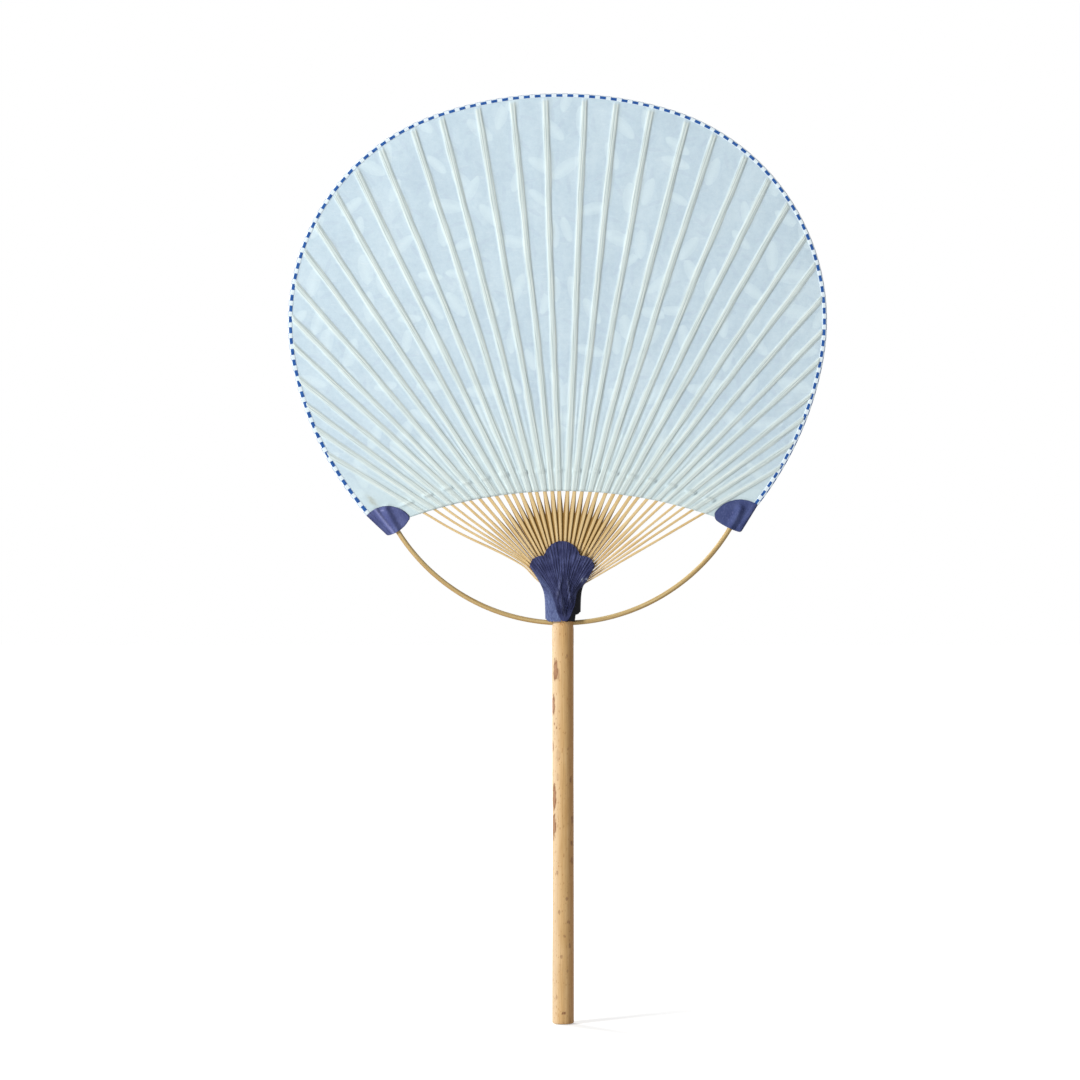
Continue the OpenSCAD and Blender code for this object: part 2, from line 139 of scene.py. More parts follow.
# Matt white paint. The light that it gives off to the camera alone lifts it to the white of the room: little
# near the fan, where the shadow lies, and more further out.
floor_material, tree = new_material("matt_white_floor")
ray = add_node(tree, "ShaderNodeLightPath")
paint = add_node(tree, "ShaderNodeBsdfDiffuse", {"Color": linear("#f4f4f4")})
floor_place = add_node(tree, "ShaderNodeTexCoord")
floor_far = add_node(tree, "ShaderNodeVectorMath", {0: floor_place.outputs["Object"]}, operation="LENGTH")
outwards = add_node(tree, "ShaderNodeMapRange",
                    {0: floor_far.outputs["Value"], 1: 0.1, 2: 0.9, 3: 0.44, 4: 1.0},
                    interpolation_type="SMOOTHSTEP")
lift = add_node(tree, "ShaderNodeMath", {0: ray.outputs["Is Camera Ray"], 1: outwards.outputs[0]},
                operation="MULTIPLY")
glow = add_node(tree, "ShaderNodeEmission", {"Color": (1, 1, 1, 1), "Strength": lift.outputs[0]})
both = add_node(tree, "ShaderNodeAddShader", {0: paint.outputs[0], 1: glow.outputs[0]})
add_node(tree, "ShaderNodeOutputMaterial", {"Surface": both.outputs[0]})
floor_mesh.materials.append(floor_material)


# Bamboo culm
# The grip is a whole slender culm, hollow, sawn square below and closed there by a plug. Its skin is left on
# and only scraped and polished, so it keeps the brown blotches and flecks that the plant had.
MM = 0.001
culm_r = 5.0
hollow_r = 3.2
culm_top = 190.0
culm_round = 0.6
culm_around = 120
plug_top = 26.0
bow_hole_z = 186.3
bow_hole_r = 1.3


def wander(u, v, seed):
    """Smooth random height from -1 to 1 over a plane whose lattice has steps of 1."""
    table = np.random.default_rng(seed).uniform(-1, 1, (64, 64))
    u, v = np.broadcast_arrays(np.asarray(u, float), np.asarray(v, float))
    i, j = np.floor(u).astype(int), np.floor(v).astype(int)
    a, b = u - i, v - j
    a, b = a * a * (3 - 2 * a), b * b * (3 - 2 * b)

    def at(m, n):
        return table[m % 64, n % 64]

    low = at(i, j) * (1 - a) + at(i + 1, j) * a
    high = at(i, j + 1) * (1 - a) + at(i + 1, j + 1) * a
    return low * (1 - b) + high * b


def smooth(t):
    """An even rise from 0 to 1 as t does so, with no corner at either end."""
    t = np.clip(t, 0, 1)
    return t * t * (3 - 2 * t)


def make_mesh(name, points, faces, marks=None):
    """An object from points in mm, with marks: values at each point, by name, that its material reads."""
    mesh = bpy.data.meshes.new(name)
    mesh.from_pydata((np.asarray(points, float) * MM).tolist(), [], faces)
    for mark, values in (marks or {}).items():
        layer = mesh.attributes.new(mark, "FLOAT", "POINT")
        layer.data.foreach_set("value", np.ascontiguousarray(values, dtype=np.float32).ravel())
    mesh.validate()
    solid = bmesh.new()
    solid.from_mesh(mesh)
    bmesh.ops.recalc_face_normals(solid, faces=solid.faces)
    solid.to_mesh(mesh)
    solid.free()
    mesh.shade_smooth()
    made = link_object(name, mesh)
    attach(made, "root")
    return made


def rings_mesh(name, rings, marks=None):
    """A closed solid through rings of equally many points, capped at both ends."""
    n, sides = rings.shape[:2]
    here = np.arange(n - 1)[:, None] * sides + np.arange(sides)[None, :]
    after = np.arange(n - 1)[:, None] * sides + (np.arange(sides)[None, :] + 1) % sides
    walls = np.stack([here, after, after + sides, here + sides], -1).reshape(-1, 4).tolist()
    caps = [list(range(sides))[::-1], list(range((n - 1) * sides, n * sides))]
    return make_mesh(name, rings.reshape(-1, 3), walls + caps, marks)


# The wall's profile, from just above the plug down the inside, and then up the outside
inside = [(2.0, plug_top), (hollow_r, plug_top)] + [(hollow_r, z) for z in (18.0, 10.0, 4.0, 1.0)]
inside += [(hollow_r + 0.05, 0.25), (hollow_r + 0.2, 0.0)]
outside = [(culm_r - culm_round, 0.0), (culm_r - 0.36, 0.08), (culm_r - 0.14, 0.25), (culm_r, culm_round)]
outside += [(culm_r, z) for z in np.arange(1.1, 184, 0.55)]
outside += [(culm_r - 0.1, z) for z in np.arange(184.4, 187, 0.5)]
outside += [(culm_r + 0.1, 187.6), (culm_r + 0.3, 188.2), (culm_r + 0.3, 188.8), (culm_r, culm_top),
            (4.0, culm_top), (2.0, culm_top)]
profile = np.array(inside + outside)
around = np.linspace(0, 2 * math.pi, culm_around, endpoint=False)
r = np.repeat(profile[:, :1], culm_around, 1)
z = np.repeat(profile[:, 1:], culm_around, 1)
turn = np.repeat(around[None, :], len(profile), 0)
skin = smooth((r - 4.6) / 0.3)
# The culm isn't quite round or straight, and a shallow groove runs up the side where its branch stood
branch_turn = 4.1
r = r + skin * (0.05 * wander(turn * 6 / math.pi, z / 23, 3) + 0.02 * wander(turn * 40 / math.pi, z / 60, 4))
r = r - skin * 0.09 * np.exp(-((turn - branch_turn) / 0.22) ** 2) * smooth((z - 70) / 100)
sway = 0.10 * np.sin(z / 58 + 0.6) * skin
ring_points = np.stack([r * np.sin(turn) + sway, -r * np.cos(turn), z], -1)

# Blotches: height and side (mm from the middle of the front, to the left below zero), then half their height
# and half their width, and how dark they are
blotches = [
    (164.3, -3.9, 4.3, 1.2, 0.85), (162.5, -2.6, 2.6, 0.8, 0.35), (148.4, -5.6, 3.9, 1.2, 0.85),
    (139.5, -4.6, 0.5, 0.25, 0.8), (142.0, -3.5, 0.4, 0.2, 0.8), (137.8, -3.3, 0.6, 0.2, 0.8),
    (135.2, -4.7, 0.5, 0.2, 0.7), (129.0, -5.9, 2.2, 0.6, 0.8), (125.0, -2.3, 2.4, 0.8, 0.25),
    (114.8, -2.5, 1.6, 0.6, 0.2), (105.2, -4.9, 5.0, 1.3, 0.9), (92.0, -5.2, 4.6, 1.2, 0.85),
    (86.5, -5.4, 1.4, 0.8, 0.5), (113.5, 3.9, 1.3, 0.5, 0.8), (95.1, 4.9, 1.7, 0.7, 0.8),
    (84.0, 4.5, 0.9, 0.6, 0.8), (76.0, 4.8, 1.3, 0.6, 0.7), (171.0, 1.9, 0.5, 0.2, 0.9),
    (58.4, 1.8, 0.7, 0.5, 0.6), (52.0, -1.9, 0.9, 0.5, 0.55), (47.5, 2.6, 0.7, 0.6, 0.65),
    (41.0, 0.6, 0.6, 0.4, 0.5), (36.4, 3.1, 0.9, 0.5, 0.6), (31.5, -0.8, 0.7, 0.5, 0.55),
    (24.8, 2.0, 0.6, 0.4, 0.45), (5.2, 0.2, 0.5, 0.8, 0.8), (12.5, -3.4, 0.9, 0.5, 0.4),
    (128.0, 2.4, 0.7, 0.4, 0.4), (70.2, -3.0, 0.8, 0.5, 0.45), (120.5, 9.5, 3.5, 1.6, 0.7),
    (60.0, -11.0, 4.0, 1.5, 0.7), (150.0, 11.5, 3.0, 1.4, 0.6), (32.0, 13.0, 2.4, 1.2, 0.6),
    (90.0, 14.5, 3.8, 1.3, 0.7), (170.0, 7.8, 1.2, 0.8, 0.5),
]
side = ((turn + math.pi) % (2 * math.pi) - math.pi) * culm_r
frayed = 0.30 * wander(side * 1.9, z * 0.7, 5) + 0.22 * wander(side * 4.5, z * 1.2, 6)
stain = np.zeros_like(z)
rim_stain = np.zeros_like(z)
for up, across, half_up, half_across, dark in blotches:
    off = (side - across + math.pi * culm_r) % (2 * math.pi * culm_r) - math.pi * culm_r
    away = np.hypot((z - up) / half_up, off / half_across) + frayed
    stain = np.maximum(stain, dark * smooth((1.25 - away) / 0.5))
    rim_stain = np.maximum(rim_stain, dark * np.exp(-((away - 0.95) / 0.22) ** 2))
# The left side is pale and chalky and the right side ruddier: partly the skin's own tone, partly a painted
# highlight on the left and painted shade on the right
chalky_and_highlight_side = np.exp(-((side + 4.8 + 0.5 * wander(z / 40, 0.5, 7)) / 2.4) ** 2)
ruddy_and_shade_side = smooth((side - 1.2) / 3.6) * smooth((15.0 - side) / 4)
culm = rings_mesh("bamboo_culm", ring_points,
                  {"chalky_and_highlight_side": chalky_and_highlight_side, "ruddy_and_shade_side": ruddy_and_shade_side, "stain": stain, "stain_rim": rim_stain})
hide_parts("handle_culm")

# The hole that the bow goes through
drill_rings = np.array([[(x, bow_hole_r * math.cos(a), bow_hole_z + bow_hole_r * math.sin(a))
                         for a in np.linspace(0, 2 * math.pi, 32, endpoint=False)] for x in (-9.0, 9.0)])
drill = rings_mesh("drill", drill_rings)
cut = culm.modifiers.new("bow_hole", "BOOLEAN")
cut.operation = "DIFFERENCE"
cut.object = drill
cut.solver = "EXACT"
bpy.context.view_layer.objects.active = culm
bpy.ops.object.modifier_apply(modifier=cut.name)
bpy.data.objects.remove(drill)

# Bamboo skin, scraped: hard, smooth and faintly waxy, with fibres that run up the culm 0.3 mm apart
fibre_mm = 0.3
bamboo_skin, tree = new_material("scraped_bamboo_skin")
stain_mark = add_node(tree, "ShaderNodeAttribute", attribute_name="stain")
rim_mark = add_node(tree, "ShaderNodeAttribute", attribute_name="stain_rim")
skin_place = add_node(tree, "ShaderNodeTexCoord")
fibre_place = add_node(tree, "ShaderNodeMapping", {
    "Vector": skin_place.outputs["Object"], "Scale": (1000 / fibre_mm, 1000 / fibre_mm, 1000 / 22)})
fibres = add_node(tree, "ShaderNodeTexNoise", {
    "Vector": fibre_place.outputs[0], "Scale": 1.0, "Detail": 3.0, "Roughness": 0.6})
cloud_place = add_node(tree, "ShaderNodeMapping", {
    "Vector": skin_place.outputs["Object"], "Scale": (1000 / 4, 1000 / 4, 1000 / 16)})
clouds = add_node(tree, "ShaderNodeTexNoise", {"Vector": cloud_place.outputs[0], "Scale": 1.0, "Detail": 4.0})
fleck_place = add_node(tree, "ShaderNodeMapping", {
    "Vector": skin_place.outputs["Object"], "Scale": (1000 / 0.7, 1000 / 0.7, 1000 / 2.2)})
flecks = add_node(tree, "ShaderNodeTexNoise", {"Vector": fleck_place.outputs[0], "Scale": 1.0, "Detail": 2.0})
skin_tone = add_node(tree, "ShaderNodeValToRGB", {"Fac": clouds.outputs[0]},
                     stops=[(0.30, "#c49a62"), (0.50, "#d3ac76"), (0.72, "#e0be8c")])
fibre_tone = add_node(tree, "ShaderNodeValToRGB", {"Fac": fibres.outputs[0]},
                      stops=[(0.30, "#ab7c45"), (0.55, "#d6ae74"), (0.80, "#efd3a4")])
skin_mix = add_node(tree, "ShaderNodeMix", {0: 0.5, 6: skin_tone.outputs[0], 7: fibre_tone.outputs[0]},
                    data_type="RGBA")
# Paler and chalky on the left, partly as a painted highlight, and ruddier on the right, partly as painted
# shade
chalky_highlight_mark = add_node(tree, "ShaderNodeAttribute", attribute_name="chalky_and_highlight_side")
ruddy_shade_mark = add_node(tree, "ShaderNodeAttribute", attribute_name="ruddy_and_shade_side")
chalky_highlight_part = add_node(tree, "ShaderNodeMath", {0: chalky_highlight_mark.outputs["Fac"], 1: 0.62}, operation="MULTIPLY")
ruddy_shade_part = add_node(tree, "ShaderNodeMath", {0: ruddy_shade_mark.outputs["Fac"], 1: 0.42}, operation="MULTIPLY")
chalky_highlighted = add_node(tree, "ShaderNodeMix", {0: chalky_highlight_part.outputs[0], 6: skin_mix.outputs[2],
                                         7: linear("#e3cdae")}, data_type="RGBA")
ruddy_shaded = add_node(tree, "ShaderNodeMix", {0: ruddy_shade_part.outputs[0], 6: chalky_highlighted.outputs[2],
                                           7: linear("#bd7c40")}, data_type="RGBA")
fleck_tone = add_node(tree, "ShaderNodeValToRGB", {"Fac": flecks.outputs[0]},
                      stops=[(0.30, 1.0), (0.37, 0.0)])
fleck_part = add_node(tree, "ShaderNodeMath", {0: fleck_tone.outputs[0], 1: 0.75}, operation="MULTIPLY")
with_flecks = add_node(tree, "ShaderNodeMix", {0: fleck_part.outputs[0], 6: ruddy_shaded.outputs[2],
                                               7: linear("#a8713a")}, data_type="RGBA")
with_stain = add_node(tree, "ShaderNodeMix", {0: stain_mark.outputs["Fac"], 6: with_flecks.outputs[2],
                                              7: linear("#9c6f50")}, data_type="RGBA")
with_rim = add_node(tree, "ShaderNodeMix", {0: rim_mark.outputs["Fac"], 6: with_stain.outputs[2],
                                            7: linear("#7b4c26")}, data_type="RGBA")
skin_bump = add_node(tree, "ShaderNodeBump",
                     {"Height": fibres.outputs[0], "Strength": 0.35, "Distance": 0.00006})
skin_shader = add_node(tree, "ShaderNodeBsdfPrincipled", {
    "Base Color": with_rim.outputs[2], "Roughness": 0.48, "IOR": 1.5, "Specular IOR Level": 0.3,
    "Normal": skin_bump.outputs[0]})
add_node(tree, "ShaderNodeOutputMaterial", {"Surface": skin_shader.outputs[0]})
culm.data.materials.append(bamboo_skin)


# End plug
# A peg of soft willow, driven into the culm's open lower end and cut flush with it. It shows only its end
# grain: pale growth rings with fine pores.
end_grain, tree = new_material("cut_willow_end_grain")
plug_place = add_node(tree, "ShaderNodeTexCoord")
ring_place = add_node(tree, "ShaderNodeMapping", {
    "Vector": plug_place.outputs["Object"], "Location": (-1.6, 0.5, 0), "Scale": (1000, 1000, 120)})
growth = add_node(tree, "ShaderNodeTexWave", {
    "Vector": ring_place.outputs[0], "Scale": 0.28, "Distortion": 1.2, "Detail": 2.0, "Detail Scale": 1.0},
    wave_type="RINGS", rings_direction="Z")
pores = add_node(tree, "ShaderNodeTexNoise", {"Vector": plug_place.outputs["Object"], "Scale": 1000 / 0.25})
grain_tone = add_node(tree, "ShaderNodeValToRGB", {"Fac": growth.outputs[0]},
                      stops=[(0.15, "#c9ae7c"), (0.6, "#e4d0a4"), (0.95, "#eddcb6")])
pore_tone = add_node(tree, "ShaderNodeValToRGB", {"Fac": pores.outputs[0]},
                     stops=[(0.35, "#b08d5a"), (0.5, "#e8d6ad")])
plug_tone = add_node(tree, "ShaderNodeMix", {0: 0.3, 6: grain_tone.outputs[0], 7: pore_tone.outputs[0]},
                     data_type="RGBA")
plug_bump = add_node(tree, "ShaderNodeBump",
                     {"Height": pores.outputs[0], "Strength": 0.5, "Distance": 0.0001})
plug_shader = add_node(tree, "ShaderNodeBsdfPrincipled", {
    "Base Color": plug_tone.outputs[2], "Roughness": 0.85, "Normal": plug_bump.outputs[0]})
add_node(tree, "ShaderNodeOutputMaterial", {"Surface": plug_shader.outputs[0]})
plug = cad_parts["end_plug"]
plug.data.materials.clear()
plug.data.materials.append(end_grain)


# Ribs
# Above its node the culm's wall is split into thin strands, half of them bent forwards and half back, and
# fanned out into one plane. Knife and hand leave each a little uneven in width and line. Their split sides
# are darker brown, partly their own tone and partly painted shade for the gaps between the ribs.
rib_count = 34
fan_rise = 8.8
fan_z = culm_top + fan_rise
# Angles in degrees: the row's lean to the right, its half spread, and how unevenly the ribs are spaced.
# Crowding is how much closer they lie at the sides.
rib_lean, rib_spread, rib_unevenness = 0.2, 59, 0.25
rib_crowding = 0.145
rib_t = 0.8
rib_w, side_rib_w = 1.7, 1.1
neck_w, side_neck_w = 0.75, 0.6
rib_inset = 2.3
# The ring of strands that the wall is split into
strand_in_r = 3.75
strand_mid_r = 4.375
strand_gap = 0.1
# Distances from the fan's centre: where a strand runs straight outwards, has its full width, has left its
# half of the ring, and lies in the plane. Strands at the sides keep their places in the ring for a way first.
join_r = 12.0
full_w_r = 48.0
split_out, plane_in = 15, 28
side_hold = 10
# How strongly the bend sets off upwards and comes in outwards, and its length along the strand
bend_up, bend_out = 15.0, 7
bend_len = 20
# Beyond the bend only a face that slopes more steeply than this in depth counts as a split side
side_slope = 2.5
hair_gap = 0.015
head_turn = 1.15
head_reach = 233.8
crown_r, side_r, flank_r = 178.2, 102.4, 154.0
crown_angle, flank_angle = 17.5, 101.3


def mix(a, b, t):
    """The value that lies the part t of the way from a to b."""
    return a + (b - a) * t


def rib_angle(i):
    """Angle of a rib from upright, in degrees. Ribs are numbered from the left, from 1."""
    k = i - (rib_count + 1) / 2
    f = k / ((rib_count - 1) / 2)
    return (rib_lean + rib_spread * ((1 + rib_crowding) * f - rib_crowding * f ** 3)
            + rib_unevenness * math.sin(math.radians(k * 137)))


def sideness(i):
    """0 for the ribs in the middle, 1 for the narrow ones at the sides."""
    return float(smooth((abs(rib_angle(i)) - 25) / 30))


def rib_width(i):
    return mix(rib_w, side_rib_w, sideness(i))


def heading(degrees):
    """Unit vector at an angle from upright, positive to the right, as x and z."""
    a = np.radians(degrees)
    return np.stack([np.sin(a), np.cos(a)], -1)


# The rim is a chain of arcs round these centres, in the head's own turned frame
crown_c = np.array([0, head_reach - crown_r])
side_c = crown_c + (crown_r - side_r) * heading(crown_angle)
flank_c = side_c + (side_r - flank_r) * heading(flank_angle)
crown_to = float(np.degrees(np.arctan2(*(crown_c + crown_r * heading(crown_angle)))))
side_to = float(np.degrees(np.arctan2(*(side_c + side_r * heading(flank_angle)))))


def rim_reach(degrees, inset=0.0):
    """Distance from the fan's centre to the rim at an angle in the head's own frame."""
    angle = np.abs(degrees)
    reach = np.zeros_like(angle, dtype=float)
    for start, stop, centre, radius in ((-1, crown_to, crown_c, crown_r), (crown_to, side_to, side_c, side_r),
                                        (side_to, 181, flank_c, flank_r)):
        along = heading(angle) @ centre
        far = along + np.sqrt(np.maximum((radius - inset) ** 2 - centre @ centre + along ** 2, 0))
        reach = np.where((angle > start) & (angle <= stop), far, reach)
    return reach


def rib_sway(i, r):
    """How far a rib strays sideways. The lowest on the left are gathered up by the wrapping."""
    own = (0.05 + 0.28 * smooth((r - 60) / 80)) * wander(r / 34 + 3.7 * i, i * 1.31, 11)
    own = own * smooth((r - 14) / 12)
    gathered = 2.6 * smooth((-rib_angle(i) - 40) / 19) * smooth((r - 12) / 12) * smooth((66 - r) / 40)
    return own + gathered


def strand_depth(i, way):
    """Depth of a strand's middle from the fan's plane, by the way it has come from the split."""
    turn = strand_turn(i)
    start = strand_mid_r * abs(math.cos(turn))
    middle = 0.5 + 0.9 * abs(math.cos(turn))
    hold = side_hold * abs(math.sin(turn))
    to_middle = fan_rise + split_out
    to_plane = fan_rise + plane_in
    first = mix(start, middle, smooth((way - hold) / (to_middle - hold)))
    second = middle * (1 - smooth((way - to_middle) / (to_plane - to_middle)))
    return -rib_front(i) * float(first if way < to_middle else second)


def rib_front(i):
    """1 for a rib that comes from the front half of the ring, -1 for one from the back half."""
    return 1 if i % 2 == 0 else -1


def strand_turn(i):
    """Direction of a strand round the ring, 0 at the front and a quarter turn at the right."""
    a = (i - (rib_count + 1) / 2) * math.pi / rib_count
    return a if rib_front(i) > 0 else math.pi - a


def rib_section(corners, lean=1.0):
    """Four corners as a section with rounded edges: sixteen points, and how much each is a split side. A face
    is a side where its slope in depth is steeper than one in lean."""
    points, split = [], []
    for j in range(4):
        corner, before, after = corners[j], corners[j - 1], corners[(j + 1) % 4]
        for back, on in ((0.16, 0), (0.05, 0.05), (0, 0.16)):
            points.append(corner + back * (before - corner) + on * (after - corner))
        points.append((corner + after) / 2)
        side_after = abs(after[0] - corner[0]) < lean * abs(after[1] - corner[1])
        side_before = abs(before[0] - corner[0]) < lean * abs(before[1] - corner[1])
        split += [float(side_before), 0.35, float(side_after), float(side_after)]
    return np.array(points), np.array(split)


def half_way(i, side, r):
    """How far the middle of the gap beside a rib is from the rib's middle."""
    j = i + side
    if not 1 <= j <= rib_count:
        return 0.0
    return side * (math.radians(rib_angle(j) - rib_angle(i)) * r + float(rib_sway(j, r) - rib_sway(i, r))) / 2


split_bamboo, tree = new_material("split_bamboo")
for i in range(1, rib_count + 1):
    out = heading(rib_angle(i))
    turn = strand_turn(i)
    quarter = round(math.degrees(turn) / 90) + 4
    narrow = mix(neck_w, side_neck_w, sideness(i))
    slant = 1 - sideness(i)
    root = np.array([strand_mid_r * math.sin(turn), -fan_rise])
    join = join_r * out
    half = math.pi / rib_count - strand_gap / 2 / strand_mid_r
    wall_mid = strand_mid_r * np.array([math.sin(turn), -math.cos(turn)])
    wall_corners = ((culm_r - 0.03, -half), (culm_r - 0.03, half), (strand_in_r, half), (strand_in_r, -half))
    at_ring = np.array([[radius * math.sin(turn + a), -radius * math.cos(turn + a)] - wall_mid
                        for radius, a in wall_corners])
    tip = float(rim_reach(np.array(rib_angle(i) + head_turn), rib_inset))
    rings, splits, alongs, acrosses = [], [], [], []
    # Sections up the bend, then outwards to the tip
    stations = [("bend", t) for t in np.linspace(0, 1, 13)[:-1]]
    stations += [("out", r) for r in np.concatenate([
        np.arange(join_r, 60, 1.5), np.linspace(60, tip - 0.6, 40), [tip - 0.2, tip]])]
    for kind, t in stations:
        if kind == "bend":
            up, away = np.array([0, bend_up]), bend_out * out
            place = ((2 * t ** 3 - 3 * t * t + 1) * root + (t ** 3 - 2 * t * t + t) * up
                     + (3 * t * t - 2 * t ** 3) * join + (t ** 3 - t * t) * away)
            way = ((6 * t * t - 6 * t) * (root - join) + (3 * t * t - 4 * t + 1) * up
                   + (3 * t * t - 2 * t) * away)
            way = way / np.linalg.norm(way)
            depth = strand_depth(i, t * (fan_rise + join_r))
            flat = narrow / 2 * np.array([[-1, 0], [1, 0], [1, 0], [-1, 0]]) + rib_t / 2 * np.array(
                [[0, -1], [0, -1], [0, 1], [0, 1]])
            flat = np.array([flat[(j + quarter) % 4] for j in range(4)])
            corners = mix(at_ring, flat, float(smooth(t / 0.5)))
            along = t * bend_len
        else:
            place, way = t * out, out
            depth = strand_depth(i, fan_rise + t)
            wide = mix(narrow, rib_width(i), min(1.0, (t - join_r) / (full_w_r - join_r)))
            wide *= 1 + 0.07 * float(wander(t / 21 + 5 * i, 0.5, 12))
            # Near the neck a strand is narrower in front than behind, where it nearly meets its neighbours,
            # so that its darker sides, brown partly as painted shade, show between their fronts
            slope = mix(0.35, 1, slant) * float(smooth((50 - t) / 13)) * float(smooth((t - 12) / 6))
            front_w = wide * (1 - 0.10 * slope) / 2
            # Its back makes up for what the rounding of the edges will take off
            back_left, back_right = (
                mix(wide / 2, max(wide / 2, (half_way(i, to, t) - hair_gap - 0.05 * front_w) / 0.85), slope)
                for to in (-1, 1))
            ends = 0.35 if t == tip else 1.0
            flat = np.array([[-front_w, -rib_t / 2], [front_w, -rib_t / 2], [back_right, rib_t / 2],
                             [-back_left, rib_t / 2]]) * ends
            corners = np.array([flat[(j + quarter) % 4] for j in range(4)])
            corners[:, 0] += float(rib_sway(i, t))
            along = t + bend_len
        section, split = rib_section(corners, 1.0 if kind == "bend" else side_slope)
        rings.append([[place[0] + c[0] * way[1], depth + c[1],
                       fan_z + place[1] - c[0] * way[0]] for c in section])
        splits.append(split * (0.25 + 0.75 * slant))
        alongs.append(np.full(len(section), along))
        acrosses.append(section[:, 0] + section[:, 1] * 0.7)
    rings = np.array(rings)
    rib = rings_mesh(f"bamboo_rib_{i:02d}", rings, {
        "split_side_and_shade": np.array(splits), "along_mm": np.array(alongs), "across_mm": np.array(acrosses),
        "strand": np.full(rings.shape[:2], (i * 0.37) % 1)})
    rib.data.materials.append(split_bamboo)
    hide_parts(f"rib_{i:02d}")

# Split bamboo: pale, straight-grained and satin on its cut faces, with fibres about 0.15 mm apart, drawn a
# little coarser to show, and golden brown on the sides where it tore along the grain, a brown that is partly
# painted shade for the gaps between the ribs
along = add_node(tree, "ShaderNodeAttribute", attribute_name="along_mm")
across = add_node(tree, "ShaderNodeAttribute", attribute_name="across_mm")
strand = add_node(tree, "ShaderNodeAttribute", attribute_name="strand")
split_shade_mark = add_node(tree, "ShaderNodeAttribute", attribute_name="split_side_and_shade")
strand_off = add_node(tree, "ShaderNodeMath", {0: strand.outputs["Fac"], 1: 40.0}, operation="MULTIPLY")
along_fibre = add_node(tree, "ShaderNodeMath", {0: along.outputs["Fac"], 1: 1 / 14}, operation="MULTIPLY")
across_fibre = add_node(tree, "ShaderNodeMath", {0: across.outputs["Fac"], 1: 1 / 0.22}, operation="MULTIPLY")
grain_place = add_node(tree, "ShaderNodeCombineXYZ", {
    0: across_fibre.outputs[0], 1: along_fibre.outputs[0], 2: strand_off.outputs[0]})
grain = add_node(tree, "ShaderNodeTexNoise", {"Vector": grain_place.outputs[0], "Scale": 1.0, "Detail": 3.0})
strand_cloud = add_node(tree, "ShaderNodeTexNoise", {
    "Vector": grain_place.outputs[0], "Scale": 0.25, "Detail": 1.0})
face_tone = add_node(tree, "ShaderNodeValToRGB", {"Fac": grain.outputs[0]},
                     stops=[(0.28, "#c79f62"), (0.50, "#e2c48c"), (0.75, "#f5e0b4")])
cloud_tone = add_node(tree, "ShaderNodeValToRGB", {"Fac": strand_cloud.outputs[0]},
                      stops=[(0.3, "#d8b67c"), (0.7, "#f0d6a4")])
face_mix = add_node(tree, "ShaderNodeMix", {0: 0.45, 6: face_tone.outputs[0], 7: cloud_tone.outputs[0]},
                    data_type="RGBA")
# The split sides' brown is partly painted shade for the gaps between the ribs
rib_tone = add_node(tree, "ShaderNodeMix", {0: split_shade_mark.outputs["Fac"], 6: face_mix.outputs[2],
                                            7: linear("#8d6c38")}, data_type="RGBA")
rib_bump = add_node(tree, "ShaderNodeBump", {"Height": grain.outputs[0], "Strength": 0.4,
                                             "Distance": 0.00008})
rib_shader = add_node(tree, "ShaderNodeBsdfPrincipled", {
    "Base Color": rib_tone.outputs[2], "Roughness": 0.6, "IOR": 1.5, "Specular IOR Level": 0.12,
    "Normal": rib_bump.outputs[0]})
add_node(tree, "ShaderNodeOutputMaterial", {"Surface": rib_shader.outputs[0]})


# Bow
# A thin shaved rod of bamboo, put through the culm at its node and bent up to both corners, which it holds
# apart. Its outer, lower side is painted darker, as shade.
bow_r = 90.6
bow_d = 2.2
bow_centre_z = bow_hole_z + bow_r
bow_end = 65.6
bow_sides = 28
rings, bow_along, bow_around = [], [], []
for a in np.concatenate([[-bow_end], np.linspace(-bow_end + 0.15, bow_end - 0.15, 420), [bow_end]]):
    middle = bow_r * math.radians(a)
    ends = 0.75 if abs(a) == bow_end else 1.0
    ring = []
    for j in range(bow_sides):
        t = 2 * math.pi * j / bow_sides
        # Shaved with a knife, so nearly round with faint flats that wander along it
        uneven = 1 + 0.03 * float(wander(middle / 40, j / 5.0, 21)) + 0.02 * math.cos(4 * t + 0.8)
        radius = bow_d / 2 * ends * uneven
        outwards = radius * math.cos(t)
        ring.append([(bow_r + outwards) * math.sin(math.radians(a)), radius * math.sin(t),
                     bow_centre_z - (bow_r + outwards) * math.cos(math.radians(a))])
        bow_along.append(middle)
        bow_around.append(math.cos(t))
    rings.append(ring)
bow = rings_mesh("bamboo_bow", np.array(rings),
                 {"along_mm": np.array(bow_along), "outer_side": np.array(bow_around)})
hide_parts("bow")
shaved_bamboo, tree = new_material("shaved_bamboo")
along = add_node(tree, "ShaderNodeAttribute", attribute_name="along_mm")
outer = add_node(tree, "ShaderNodeAttribute", attribute_name="outer_side")
spread = add_node(tree, "ShaderNodeMath", {0: outer.outputs["Fac"], 1: 3.6}, operation="MULTIPLY")
bow_step = add_node(tree, "ShaderNodeMath", {0: along.outputs["Fac"], 1: 1 / 45}, operation="MULTIPLY")
bow_grain_place = add_node(tree, "ShaderNodeCombineXYZ",
                           {0: spread.outputs[0], 1: bow_step.outputs[0], 2: 3.0})
bow_grain = add_node(tree, "ShaderNodeTexNoise",
                     {"Vector": bow_grain_place.outputs[0], "Scale": 1.6, "Detail": 4.0})
bow_tone = add_node(tree, "ShaderNodeValToRGB", {"Fac": bow_grain.outputs[0]},
                    stops=[(0.28, "#a98550"), (0.50, "#cbb07a"), (0.74, "#dcc894")])
